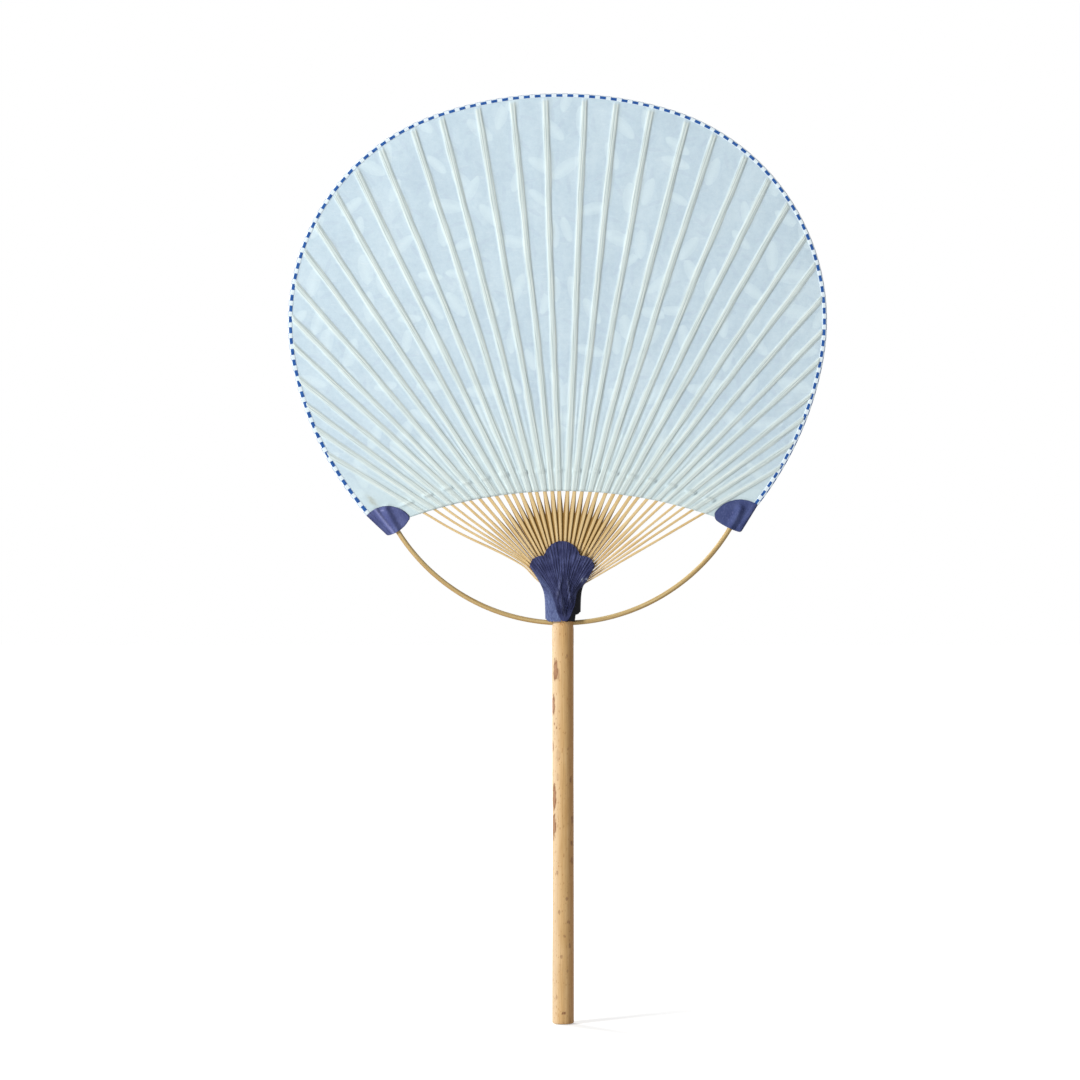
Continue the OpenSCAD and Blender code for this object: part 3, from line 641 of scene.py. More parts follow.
# Painted shade: the outer, lower side of the rod is painted darker
under = add_node(tree, "ShaderNodeMapRange", {0: outer.outputs["Fac"], 1: -0.1, 2: 0.9, 3: 0.0, 4: 0.6})
bow_shaded_under = add_node(tree, "ShaderNodeMix", {0: under.outputs[0], 6: bow_tone.outputs[0],
                                             7: linear("#a8834e")}, data_type="RGBA")
bow_bump = add_node(tree, "ShaderNodeBump", {"Height": bow_grain.outputs[0], "Strength": 0.2,
                                             "Distance": 0.00005})
bow_shader = add_node(tree, "ShaderNodeBsdfPrincipled", {
    "Base Color": bow_shaded_under.outputs[2], "Roughness": 0.55, "IOR": 1.5, "Specular IOR Level": 0.2,
    "Normal": bow_bump.outputs[0]})
add_node(tree, "ShaderNodeOutputMaterial", {"Surface": bow_shader.outputs[0]})
bow.data.materials.append(shaved_bamboo)


# Binding thread
# Undyed cotton, two plies twisted together, woven behind and before the ribs and lashed to both ends of the
# bow. The papers and the corner patches hide it. The plies turn once in about a millimetre.
ply_mm = 1.0
cotton, tree = new_material("twisted_cotton_thread")
thread_place = add_node(tree, "ShaderNodeTexCoord")
plies = add_node(tree, "ShaderNodeTexWave", {
    "Vector": thread_place.outputs["Object"], "Scale": 1000 / ply_mm / 2, "Distortion": 1.5, "Detail": 2.0},
    bands_direction="DIAGONAL")
ply_tone = add_node(tree, "ShaderNodeValToRGB", {"Fac": plies.outputs[0]},
                    stops=[(0.1, "#c9bfa6"), (0.7, "#efe8d6")])
ply_bump = add_node(tree, "ShaderNodeBump", {"Height": plies.outputs[0], "Strength": 0.8, "Distance": 0.0001})
thread_shader = add_node(tree, "ShaderNodeBsdfPrincipled", {
    "Base Color": ply_tone.outputs[0], "Roughness": 0.9, "Sheen Weight": 0.2, "Normal": ply_bump.outputs[0]})
add_node(tree, "ShaderNodeOutputMaterial", {"Surface": thread_shader.outputs[0]})
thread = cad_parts["binding_thread"]
thread.data.materials.clear()
thread.data.materials.append(cotton)


# Paper faces
# Two thin sheets of pale blue paper, pasted on wet over the ribs, front and back, and to each other between
# them. As they dried they drew tight, so each rib stands up as a sharp ridge, and the thread as a faint line
# across them all.
sheet_t = 0.24
# Arcs low on the head: the papers' open edge, and the line of the thread. Each has a radius, the height of
# its top above the fan's centre, and so the height of its own centre.
window_r, window_rise = 213.0, 48.9
window_c = window_rise - window_r
thread_line_r, thread_rise = 178.0, 58.6
thread_line_c = thread_rise - thread_line_r
# The corners' tips in the head's own frame, across and up, by side: -1 is the left and 1 the right. Between a
# tip and this angle the head is cut off short.
corner_tips = {-1: np.array([80.9, 30.7]), 1: np.array([83.0, 29.0])}
corner_angle = 66.6
# Heights of a sheet's outside from the fan's plane: between the ribs and over one, as the thread under it
# swings from one side of the ribs to the other, and over the ends of the bow. Then half the width of its
# ridge over the thread.
gap_t = 0.30
ridge_top = 0.70
thread_middle, thread_swing = 0.53, 0.68
over_bow = 1.88
thread_half_w = 2.2


def circle_reach(degrees, centre_up, radius):
    """Distance from the fan's centre to a circle whose centre stands above or below it."""
    along = np.cos(np.radians(degrees)) * centre_up
    return along + np.sqrt(radius ** 2 - centre_up ** 2 + along ** 2)


def from_head(across, up):
    """Distances across and up from the fan's centre, from the head's own turned frame into the fan's."""
    turn = math.radians(head_turn)
    return across * math.cos(turn) - up * math.sin(turn), across * math.sin(turn) + up * math.cos(turn)


def tip_place(side):
    """Angle and distance of a corner's tip from the fan's centre."""
    across, up = from_head(side * corner_tips[side][0], corner_tips[side][1])
    return math.degrees(math.atan2(across, up)), math.hypot(across, up)


def head_edge(degrees):
    """Distance from the fan's centre to the head's cut edge, at the rim or at a corner's short cut."""
    edge = rim_reach(degrees + head_turn)
    for side in corner_tips:
        tip_angle, tip_far = tip_place(side)
        rim_angle = side * corner_angle - head_turn
        cut_from = float(rim_reach(np.array(float(side * corner_angle)))) * heading(rim_angle)
        cut_to = tip_far * heading(tip_angle)
        across_cut = np.array([-(cut_to - cut_from)[1], (cut_to - cut_from)[0]])
        meets = heading(degrees) @ across_cut
        cut = (cut_from @ across_cut) / np.where(np.abs(meets) < 1e-6, 1e-6, meets)
        edge = np.where(side * degrees > side * rim_angle, cut, edge)
    return edge


# Columns of the sheets: nine across each rib and seven between two ribs
rib_angles = np.array([rib_angle(i) for i in range(1, rib_count + 1)])
# A column: its rib's number from 0, and its place, -4 to 4 across the rib or 10 to 16 across the gap after it
column_of = []
for i in range(rib_count):
    column_of += [(i, k) for k in range(-4, 5)]
    if i < rib_count - 1:
        column_of += [(i, 10 + k) for k in range(7)]
# Degrees from an outermost rib to where the next would be, and the number of columns from it to the corner
outer_gap = 3.2
edge_columns = 14
row_parts = np.concatenate([np.linspace(0, 1, 6)[:-1], 1 + np.linspace(0, 1, 13)[:-1],
                            2 + np.linspace(0, 1, 100)])


def paper_rows(degrees):
    """Distance from the fan's centre of each row: the window's edge, the thread's ridge, to the rim."""
    low = circle_reach(degrees, window_c, window_r)
    high = head_edge(degrees)
    line = circle_reach(degrees, thread_line_c, thread_line_r)
    low = np.minimum(low, high - 0.02)
    before = np.clip(line - thread_half_w, low, high)
    after = np.clip(line + thread_half_w, low, high)
    part = row_parts[:, None]
    return np.select([part < 1, part < 2], [mix(low, before, part), mix(before, after, part - 1)],
                     mix(after, high, part - 2))


def ridge_foot(room):
    """How far beside a rib's edge its last column stands, where the sheet is nearly down."""
    return np.minimum(1.05, 0.72 * room)


def paper_grid():
    """Over one sheet: angle and distance from the fan's centre, distance across from the nearest rib, that
    rib's number, and how far towards the middle of the gap a point lies, from 0 at the rib to 1."""
    far = paper_rows(np.array([rib_angles[i] if k < 10 else mix(rib_angles[i], rib_angles[i + 1], (k - 9) / 8)
                               for i, k in column_of]))
    across, nearest, gap_part = np.zeros_like(far), np.zeros_like(far), np.zeros_like(far)
    for _ in range(3):
        for c, (i, k) in enumerate(column_of):
            before = rib_angles[i] - rib_angles[i - 1] if i else outer_gap
            after = rib_angles[i + 1] - rib_angles[i] if i < rib_count - 1 else outer_gap
            r = far[:, c]
            half = rib_width(i + 1) / 2
            if k < 10:
                gap = r * math.radians(before if k < 0 else after)
                room = gap / 2 - half
                step = [0, half - 0.14, half + np.minimum(0.12, 0.12 * room),
                        half + np.minimum(0.5, 0.42 * room), half + ridge_foot(room)][abs(k)]
                across[:, c] = np.sign(k) * step
                nearest[:, c] = i + 1
            else:
                next_half = rib_width(i + 2) / 2
                gap = r * math.radians(after)
                start = half + ridge_foot(gap / 2 - half)
                stop = gap - next_half - ridge_foot(gap / 2 - next_half)
                place = mix(start, stop, (k - 9) / 8)
                first = place < gap / 2
                across[:, c] = np.where(first, place, place - gap)
                nearest[:, c] = np.where(first, i + 1, i + 2)
            gap_part[:, c] = np.clip(np.abs(across[:, c]) / (gap / 2), 0, 1)
        swayed = np.zeros_like(far)
        for i in range(1, rib_count + 1):
            swayed = np.where(nearest == i, rib_sway(i, far), swayed)
        # Halfway between two ribs the sheet strays as their mean
        for c, (i, k) in enumerate(column_of):
            if k >= 10:
                toward = smooth((k - 9) / 8)
                swayed[:, c] = mix(rib_sway(i + 1, far[:, c]), rib_sway(i + 2, far[:, c]), toward)
        angle = np.degrees((across + swayed) / far) + rib_angles[(nearest - 1).astype(int)]
        far = paper_rows(angle)
    # Beyond the outermost ribs, out to the corners
    for side in corner_tips:
        end = tip_place(side)[0]
        edge = 0 if side < 0 else -1
        parts = (np.arange(1, edge_columns + 1) / edge_columns)[None, :] ** 1.15
        more = mix(angle[:, edge][:, None], end, parts)
        more_far = paper_rows(more)
        more_across = across[:, edge][:, None] + np.radians(more - angle[:, edge][:, None]) * more_far
        number = np.full_like(more, 1 if side < 0 else rib_count)
        grids = ((angle, more), (far, more_far), (across, more_across), (nearest, number),
                 (gap_part, np.full_like(more, 0.4)))
        angle, far, across, nearest, gap_part = (
            np.concatenate([extra[:, ::-1], main] if side < 0 else [main, extra], 1) for main, extra in grids)
    return angle, far, across, nearest, gap_part


def bow_swell(x, z, base, top):
    """Height of paper drawn over an end of the bow and the thread that lashes it."""
    off = np.abs(np.hypot(x, z - bow_centre_z) - bow_r)
    past = np.degrees(np.arctan2(np.abs(x), bow_centre_z - z)) - bow_end
    return base + (top - base) * smooth(1 - off / 3.0) ** 1.3 * smooth(1 - past / 1.6) * (np.abs(x) > 40)


def stand_off_of(far, nearest, across):
    """How far the paper stands off beside a rib: it changes along the rib, and between its two sides."""
    return 0.85 + 0.40 * wander(far / 8.5, nearest * 1.9 + 0.5 * np.sign(across), 37)


def stretched_height(angle, far, across, nearest, side):
    """Height of a taut sheet over the ribs, the thread that is woven past them, and the bow's ends. With it,
    how much a point lies over a rib, how far it is from the rib's edge, and a fade to 0 at the head's
    edge."""
    half = np.array([0] + [rib_width(i) / 2 for i in range(1, rib_count + 1)])[nearest.astype(int)]
    d = np.abs(across) - half
    stand_off = stand_off_of(far, nearest, across)
    slope = smooth(1 - d / stand_off) ** 1.6
    crown = 1 - 0.10 * np.clip(np.abs(across) / np.maximum(half, 0.1), 0, 1) ** 2
    over = np.where(d < 0, crown, slope * 0.9)
    ends = smooth((head_edge(angle) - 1.9 - far) / 0.6)
    height = gap_t + (ridge_top - gap_t) * over * ends
    # The thread passes on this side of every other rib, and crosses over in the gaps between them
    pitch = np.radians(4.0) * far
    swing = np.cos(math.pi * np.clip(np.abs(across) / pitch, 0, 0.5))
    sign = np.where(nearest % 2 == (1 if side < 0 else 0), 1, -1)
    thread_top = thread_middle + thread_swing * sign * swing
    line = np.abs(far - circle_reach(angle, thread_line_c, thread_line_r))
    lift = smooth(1 - line / 2.1) ** 1.4 * smooth((63.5 - np.abs(angle)) / 2) * ends
    height = height + np.maximum(thread_top - height, 0) * lift
    x, z = far * np.sin(np.radians(angle)), fan_z + far * np.cos(np.radians(angle))
    return np.maximum(height, bow_swell(x, z, gap_t, over_bow)), over, d, ends


def paper_relief(angle, far, across, nearest, gap_part, side, seed):
    """Height of a sheet's outer surface from the fan's plane, and how much a point lies over a rib."""
    height, over, d, ends = stretched_height(angle, far, across, nearest, side)
    sweep = np.radians(angle) * 150
    # Fine pleats that run with the ribs, deepest where these crowd together, and slack between them further
    # out. Low down the sheet also buckled into one more pleat between most pairs of ribs.
    pleats = 0.06 * wander(sweep / 1.1, far / 30, seed) * smooth((120 - far) / 70) * (1 - 0.6 * over)
    pair = nearest + (across > 0)
    buckle = np.exp(-((1 - gap_part) / 0.28) ** 2) * smooth((118 - far) / 45) * (
        0.10 + 0.16 * wander(pair * 1.7, far / 38, seed + 5))
    slack = 0.05 * wander(sweep / 3.2, far / 19, seed + 1) * (1 - over) * smooth((far - 70) / 60)
    cockle = 0.04 * wander(sweep / 1.6 + far / 7, far / 5, seed + 2) * (1 - over)
    # The bamboo's own unevenness shows along each ridge
    ridge = 0.035 * wander(nearest * 3.1, far / 11, seed + 3)
    ridge = over * (ridge + 0.02 * wander(across / 0.35, far / 16, seed + 4))
    height = height + (pleats + np.maximum(buckle, 0) + slack + cockle + ridge) * ends
    tint = smooth(1.15 - d / (stand_off_of(far, nearest, across) + 0.1)) * ends
    return np.maximum(height, sheet_t + 0.02), tint


def shell_mesh(name, outer, inner, marks):
    """A sheet with thickness, from its two surfaces as grids of points, closed all round. A mark is one value
    for the whole sheet or a grid of values."""
    rows, cols = outer.shape[:2]
    n = rows * cols
    a = (np.arange(rows - 1)[:, None] * cols + np.arange(cols - 1)[None, :]).ravel()
    front = np.stack([a, a + 1, a + 1 + cols, a + cols], -1)
    back = front[:, ::-1] + n
    ring = np.concatenate([np.arange(cols), np.arange(1, rows) * cols + cols - 1,
                           (rows - 1) * cols + np.arange(cols - 2, -1, -1),
                           np.arange(rows - 2, 0, -1) * cols])
    after = np.roll(ring, -1)
    walls = np.stack([ring, ring + n, after + n, after], -1)
    on_both = {mark: np.tile(np.broadcast_to(values, (rows, cols)).ravel(), 2)
               for mark, values in marks.items()}
    return make_mesh(name, np.concatenate([outer.reshape(-1, 3), inner.reshape(-1, 3)]),
                     np.concatenate([front, back, walls]).tolist(), on_both)


def paper_sheet(name, side, seed):
    """One sheet as a closed solid. side is -1 for the front and 1 for the back."""
    angle, far, across, nearest, gap_part = paper_grid()
    u = heading(angle)
    x, z = far * u[..., 0], fan_z + far * u[..., 1]
    height, over_rib = paper_relief(angle, far, across, nearest, gap_part, side, seed)
    outer = np.stack([x, side * height, z], -1)
    inner = np.stack([x, side * np.maximum(height - sheet_t, 0.01), z], -1)
    low = smooth((circle_reach(angle, window_c, window_r) + 55 - far) / 60)
    # Old paste has yellowed beside the left corner
    paste_x, paste_z = x + 88.9, z - 243.1
    paste = (side < 0) * np.exp(-((0.73 * paste_x - 0.68 * paste_z) / 3.0) ** 2
                                - ((0.68 * paste_x + 0.73 * paste_z) / 0.9) ** 2)
    return shell_mesh(name, outer, inner, {
        "over_rib": over_rib, "across_mm": across, "from_centre_mm": far, "angle_deg": angle, "low_down": low,
        "crowded": low * smooth((61.5 - np.abs(angle)) / 5), "paste": paste})


# Thin kozo paper, dip-dyed: matt and softly fibrous. Where it lies on a rib the bamboo warms its colour. A
# faint scatter of leaves, a shade lighter than the ground, shows through from its print.
leaf_mm = 17
dyed_paper, tree = new_material("pale_blue_kozo_paper")
paper_place = add_node(tree, "ShaderNodeTexCoord")
over_mark = add_node(tree, "ShaderNodeAttribute", attribute_name="over_rib")
low_mark = add_node(tree, "ShaderNodeAttribute", attribute_name="low_down")
across_mark = add_node(tree, "ShaderNodeAttribute", attribute_name="across_mm")
far_mark = add_node(tree, "ShaderNodeAttribute", attribute_name="from_centre_mm")
flat_place = add_node(tree, "ShaderNodeSeparateXYZ", {0: paper_place.outputs["Object"]})
print_place = add_node(tree, "ShaderNodeCombineXYZ", {0: flat_place.outputs[0], 1: flat_place.outputs[2]})
bend_place = add_node(tree, "ShaderNodeTexNoise",
                      {"Vector": print_place.outputs[0], "Scale": 1000 / 30, "Detail": 1.0},
                      noise_dimensions="2D")
leaf_cells = add_node(tree, "ShaderNodeTexVoronoi", {
    "Vector": print_place.outputs[0], "Scale": 1000 / leaf_mm, "Randomness": 0.85}, voronoi_dimensions="2D")
leaf_off = add_node(tree, "ShaderNodeVectorMath",
                    {0: print_place.outputs[0], 1: leaf_cells.outputs["Position"]}, operation="SUBTRACT")
leaf_turn = add_node(tree, "ShaderNodeMath", {0: leaf_cells.outputs["Color"], 1: 6.28}, operation="MULTIPLY")
leaf_local = add_node(tree, "ShaderNodeVectorRotate", {
    "Vector": leaf_off.outputs[0], "Axis": (0, 0, 1), "Angle": leaf_turn.outputs[0]})
leaf_shape = add_node(tree, "ShaderNodeMapping", {
    "Vector": leaf_local.outputs[0], "Scale": (1000 / 7.5, 1000 / 3.0, 1)})
leaf_length = add_node(tree, "ShaderNodeVectorMath", {0: leaf_shape.outputs[0]}, operation="LENGTH")
leaf_soft = add_node(tree, "ShaderNodeMath", {0: leaf_length.outputs["Value"], 1: bend_place.outputs[0]},
                     operation="ADD")
leaf = add_node(tree, "ShaderNodeMapRange", {0: leaf_soft.outputs[0], 1: 1.34, 2: 1.46, 3: 1.0, 4: 0.0})
leaf_parts = add_node(tree, "ShaderNodeSeparateXYZ", {0: leaf_local.outputs[0]})
vein_place = add_node(tree, "ShaderNodeMath", {0: leaf_parts.outputs[1], 1: 1000 / 0.8}, operation="MULTIPLY")
vein = add_node(tree, "ShaderNodeMath", {0: vein_place.outputs[0]}, operation="COSINE")
vein_low = add_node(tree, "ShaderNodeMapRange", {0: vein.outputs[0], 1: -1.0, 2: 1.0, 3: 0.55, 4: 1.0})
leaf_veined = add_node(tree, "ShaderNodeMath", {0: leaf.outputs[0], 1: vein_low.outputs[0]},
                       operation="MULTIPLY")
mottle = add_node(tree, "ShaderNodeTexNoise", {
    "Vector": paper_place.outputs["Object"], "Scale": 1000 / 24, "Detail": 3.0, "Roughness": 0.6})
ground = add_node(tree, "ShaderNodeValToRGB", {"Fac": mottle.outputs[0]},
                  stops=[(0.30, "#c3d7e4"), (0.50, "#cbdfea"), (0.70, "#d5e7f0")])
# A second, smaller scatter of narrow grey-blue leaves, between the pale ones
small_cells = add_node(tree, "ShaderNodeTexVoronoi", {
    "Vector": print_place.outputs[0], "Scale": 1000 / 9.5, "Randomness": 1.0}, voronoi_dimensions="2D")
small_off = add_node(tree, "ShaderNodeVectorMath",
                     {0: print_place.outputs[0], 1: small_cells.outputs["Position"]}, operation="SUBTRACT")
small_turn = add_node(tree, "ShaderNodeMath", {0: small_cells.outputs["Color"], 1: 9.4}, operation="MULTIPLY")
small_local = add_node(tree, "ShaderNodeVectorRotate", {
    "Vector": small_off.outputs[0], "Axis": (0, 0, 1), "Angle": small_turn.outputs[0]})
small_shape = add_node(tree, "ShaderNodeMapping", {
    "Vector": small_local.outputs[0], "Scale": (1000 / 4.2, 1000 / 1.0, 1)})
small_length = add_node(tree, "ShaderNodeVectorMath", {0: small_shape.outputs[0]}, operation="LENGTH")
small_leaf = add_node(tree, "ShaderNodeMapRange",
                      {0: small_length.outputs["Value"], 1: 0.8, 2: 1.05, 3: 0.24, 4: 0.0})
pulp_mottle = add_node(tree, "ShaderNodeTexNoise", {
    "Vector": paper_place.outputs["Object"], "Scale": 1000 / 2.2, "Detail": 4.0, "Roughness": 0.7})
pulp_tone = add_node(tree, "ShaderNodeValToRGB", {"Fac": pulp_mottle.outputs[0]},
                     stops=[(0.3, "#bad0df"), (0.5, "#cee1ec"), (0.7, "#deedf5")])
ground_mix = add_node(tree, "ShaderNodeMix", {0: 0.28, 6: ground.outputs[0], 7: pulp_tone.outputs[0]},
                      data_type="RGBA")
ground_leaves = add_node(tree, "ShaderNodeMix", {0: small_leaf.outputs[0], 6: ground_mix.outputs[2],
                                                 7: linear("#becfe0")}, data_type="RGBA")
print_part = add_node(tree, "ShaderNodeMath", {0: leaf_veined.outputs[0], 1: 0.75}, operation="MULTIPLY")
printed = add_node(tree, "ShaderNodeMix", {0: print_part.outputs[0], 6: ground_leaves.outputs[2],
                                           7: linear("#dceef5")}, data_type="RGBA")
low_part = add_node(tree, "ShaderNodeMath", {0: low_mark.outputs["Fac"], 1: 0.75}, operation="MULTIPLY")
lowered = add_node(tree, "ShaderNodeMix", {0: low_part.outputs[0], 6: printed.outputs[2],
                                           7: linear("#d2e4e5")}, data_type="RGBA")
rib_lines_place = add_node(tree, "ShaderNodeCombineXYZ",
                           {0: across_mark.outputs["Fac"], 1: far_mark.outputs["Fac"]})
rib_lines_scale = add_node(tree, "ShaderNodeMapping",
                           {"Vector": rib_lines_place.outputs[0], "Scale": (1 / 0.42, 1 / 26, 1)})
rib_lines = add_node(tree, "ShaderNodeTexNoise",
                     {"Vector": rib_lines_scale.outputs[0], "Scale": 1.0, "Detail": 2.0})
rib_warm = add_node(tree, "ShaderNodeValToRGB", {"Fac": rib_lines.outputs[0]},
                    stops=[(0.34, "#b6c5c3"), (0.46, "#d2dfdd"), (0.57, "#dce7e2"), (0.69, "#f0f5ee")])
over_part = add_node(tree, "ShaderNodeMath", {0: over_mark.outputs["Fac"], 1: 0.9}, operation="MULTIPLY")
over_ribs = add_node(tree, "ShaderNodeMix", {0: over_part.outputs[0], 6: lowered.outputs[2],
                                             7: rib_warm.outputs[0]}, data_type="RGBA")
pulp = add_node(tree, "ShaderNodeTexNoise", {
    "Vector": paper_place.outputs["Object"], "Scale": 1000 / 0.9, "Detail": 4.0, "Roughness": 0.7})
fibre_stretch = add_node(tree, "ShaderNodeMapping", {
    "Vector": paper_place.outputs["Object"], "Rotation": (0, 0.5, 0), "Scale": (1000 / 6, 1000, 1000 / 0.5)})
long_fibres = add_node(tree, "ShaderNodeTexNoise", {
    "Vector": fibre_stretch.outputs[0], "Scale": 1.0, "Detail": 2.0, "Distortion": 0.8})
fibre_tone = add_node(tree, "ShaderNodeValToRGB", {"Fac": long_fibres.outputs[0]},
                      stops=[(0.62, 0.0), (0.72, 1.0)])
fibre_part = add_node(tree, "ShaderNodeMath", {0: fibre_tone.outputs[0], 1: 0.14}, operation="MULTIPLY")
fibred = add_node(tree, "ShaderNodeMix", {0: fibre_part.outputs[0], 6: over_ribs.outputs[2],
                                          7: linear("#f2f8fa")}, data_type="RGBA")
# Low down, where the ribs crowd together, the paper dried in many sharp creases between them. Their tops
# are painted paler, as a highlight
angle_mark = add_node(tree, "ShaderNodeAttribute", attribute_name="angle_deg")
crease_place = add_node(tree, "ShaderNodeCombineXYZ",
                        {0: angle_mark.outputs["Fac"], 1: far_mark.outputs["Fac"]})
crease_scale = add_node(tree, "ShaderNodeMapping",
                        {"Vector": crease_place.outputs[0], "Scale": (1 / 0.55, 1 / 24, 1)})
crease = add_node(tree, "ShaderNodeTexNoise",
                  {"Vector": crease_scale.outputs[0], "Scale": 1.0, "Detail": 2.5}, noise_dimensions="2D")
crowd_mark = add_node(tree, "ShaderNodeAttribute", attribute_name="crowded")
crease_low = add_node(tree, "ShaderNodeMath", {0: crease.outputs[0], 1: crowd_mark.outputs["Fac"]},
                      operation="MULTIPLY")
# Painted highlight: the tops of the creases are painted paler
crease_highlight = add_node(tree, "ShaderNodeMapRange", {0: crease.outputs[0], 1: 0.54, 2: 0.74, 3: 0.0, 4: 0.5})
crease_highlight_part = add_node(tree, "ShaderNodeMath", {0: crease_highlight.outputs[0], 1: crowd_mark.outputs["Fac"]},
                       operation="MULTIPLY")
crease_lit = add_node(tree, "ShaderNodeMix", {0: crease_highlight_part.outputs[0], 6: fibred.outputs[2],
                                           7: linear("#eaf4f0")}, data_type="RGBA")
paste_mark = add_node(tree, "ShaderNodeAttribute", attribute_name="paste")
paste_part = add_node(tree, "ShaderNodeMath", {0: paste_mark.outputs["Fac"], 1: pulp.outputs[0]},
                      operation="MULTIPLY")
pasted = add_node(tree, "ShaderNodeMix", {0: paste_part.outputs[0], 6: crease_lit.outputs[2],
                                          7: linear("#9a8a48")}, data_type="RGBA")
rib_line_height = add_node(tree, "ShaderNodeMath", {0: rib_lines.outputs[0], 1: over_mark.outputs["Fac"]},
                           operation="MULTIPLY")
line_bump = add_node(tree, "ShaderNodeBump",
                     {"Height": rib_line_height.outputs[0], "Strength": 0.5, "Distance": 0.00035})
crease_bump = add_node(tree, "ShaderNodeBump",
                       {"Height": crease_low.outputs[0], "Strength": 0.45, "Distance": 0.0006,
                        "Normal": line_bump.outputs[0]})
pulp_bump = add_node(tree, "ShaderNodeBump", {"Height": pulp.outputs[0], "Strength": 0.3, "Distance": 0.00012,
                                              "Normal": crease_bump.outputs[0]})
paper_shader = add_node(tree, "ShaderNodeBsdfPrincipled", {
    "Base Color": pasted.outputs[2], "Roughness": 0.85, "IOR": 1.4, "Specular IOR Level": 0.2,
    "Normal": pulp_bump.outputs[0]})
add_node(tree, "ShaderNodeOutputMaterial", {"Surface": paper_shader.outputs[0]})

for paper_name, node_name, side, seed in (
    ("front_paper", "front_face", -1, 31), ("back_paper", "back_face", 1, 41),
):
    paper = paper_sheet(paper_name, side, seed)
    paper.data.materials.append(dyed_paper)
    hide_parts(node_name)


# Rim tape A narrow strip of checked paper, blue and white, pasted round the rim and folded over both
# faces, which binds their cut edges.
check_mm = 2.55
# Width of each leg, and of the strip that goes into the fold between them
tape_leg = 1.95
# The corner patches cover its ends. Their radii, by side:
patch_radii = {-1: 12.9, 1: 14.3}
# The strip's section: how far in from the rim, and how far from the fan's plane. Its outside, then its inside
tape_outside = [(tape_leg, -0.35), (1.80, -0.46), (1.40, -0.50), (0.80, -0.52), (0.30, -0.52), (0.02, -0.47),
                (-0.15, -0.33), (-0.23, -0.15)]
tape_inside = [(tape_leg, -0.31), (1.80, -0.32), (1.40, -0.33), (0.80, -0.33), (0.30, -0.33), (0.05, -0.32),
               (-0.01, -0.22), (-0.02, -0.10)]
section = np.array(tape_outside + [(a, -b) for a, b in reversed(tape_outside)]
                   + [(a, -b) for a, b in tape_inside] + list(reversed(tape_inside)))


def tape_end(side):
    """Angle in the head's frame at which the tape ends, a little under a corner patch."""
    angles = np.linspace(50, 70, 400)
    from_tip = rim_reach(angles)[:, None] * heading(angles) - corner_tips[side]
    return float(angles[np.argmax(np.hypot(*from_tip.T) < patch_radii[side] - 0.4)])


tape_angles = np.arange(-tape_end(-1), tape_end(1), 0.25)
edge = rim_reach(tape_angles)[:, None] * heading(tape_angles)
step = np.gradient(edge, axis=0)
step = step / np.linalg.norm(step, axis=1)[:, None]
outward = np.stack([-step[:, 1], step[:, 0]], -1)
outward = outward * np.sign(np.sum(outward * edge, 1))[:, None]
run = np.concatenate([[0], np.cumsum(np.linalg.norm(np.diff(edge, axis=0), axis=1))])
waver = 0.06 * wander(run / 9, 0.5, 51)
fold_line = -0.08 + 0.45 * smooth((tape_angles - 25) / 60) + 0.05 * wander(run / 30, 0.4, 54)
# Over the top less of its width came to the front than at the sides
to_front = 0.80 + 0.28 * np.sin(np.radians(tape_angles)) ** 2
rings = np.zeros((len(run), len(section), 3))
for j, (inset, depth) in enumerate(section):
    share = to_front if depth < 0 else 2 - to_front
    reach_in = inset * (share if inset > 0.1 else 1) * (1 + 0.03 * wander(run / 14, 0.2, 52))
    place = edge - outward * reach_in[:, None]
    across, up = from_head(place[:, 0], place[:, 1])
    rings[:, j, 0] = across
    rings[:, j, 2] = fan_z + up
    rings[:, j, 1] = depth + (np.sign(depth) * 0.02 * wander(run / 2.4, j / 3, 53) if abs(depth) > 0.4 else 0)
tape = rings_mesh("checked_rim_tape", rings, {
    "run_mm": np.repeat((run + waver)[:, None], len(section), 1),
    "inset_mm": np.repeat(section[None, :, 0], len(run), 0),
    "fold_line_mm": np.repeat(fold_line[:, None], len(section), 1)})
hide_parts("rim_tape")

# Block-printed paper: the blue has a soft edge and lets a little of the white through
checked_paper, tree = new_material("checked_paper")
run_mark = add_node(tree, "ShaderNodeAttribute", attribute_name="run_mm")
inset_mark = add_node(tree, "ShaderNodeAttribute", attribute_name="inset_mm")
tape_place = add_node(tree, "ShaderNodeTexCoord")
fold_mark = add_node(tree, "ShaderNodeAttribute", attribute_name="fold_line_mm")
inner_row = add_node(tree, "ShaderNodeMath", {0: inset_mark.outputs["Fac"], 1: fold_mark.outputs["Fac"]},
                     operation="GREATER_THAN")
shift = add_node(tree, "ShaderNodeMath", {0: inner_row.outputs[0], 1: check_mm}, operation="MULTIPLY")
shifted = add_node(tree, "ShaderNodeMath", {0: run_mark.outputs["Fac"], 1: shift.outputs[0]}, operation="ADD")
swing = add_node(tree, "ShaderNodeMath", {0: shifted.outputs[0], 1: math.pi / check_mm}, operation="MULTIPLY")
wave = add_node(tree, "ShaderNodeMath", {0: swing.outputs[0]}, operation="SINE")
check = add_node(tree, "ShaderNodeMapRange", {0: wave.outputs[0], 1: -0.30, 2: -0.06, 3: 0.0, 4: 1.0})
margin = add_node(tree, "ShaderNodeMapRange",
                  {0: inset_mark.outputs["Fac"], 1: 1.74, 2: 1.80, 3: 1.0, 4: 0.0})
between = add_node(tree, "ShaderNodeMath", {0: inset_mark.outputs["Fac"], 1: fold_mark.outputs["Fac"]},
                   operation="SUBTRACT")
row_gap = add_node(tree, "ShaderNodeMath", {0: between.outputs[0], 1: 0.12, 2: 0.14}, operation="COMPARE")
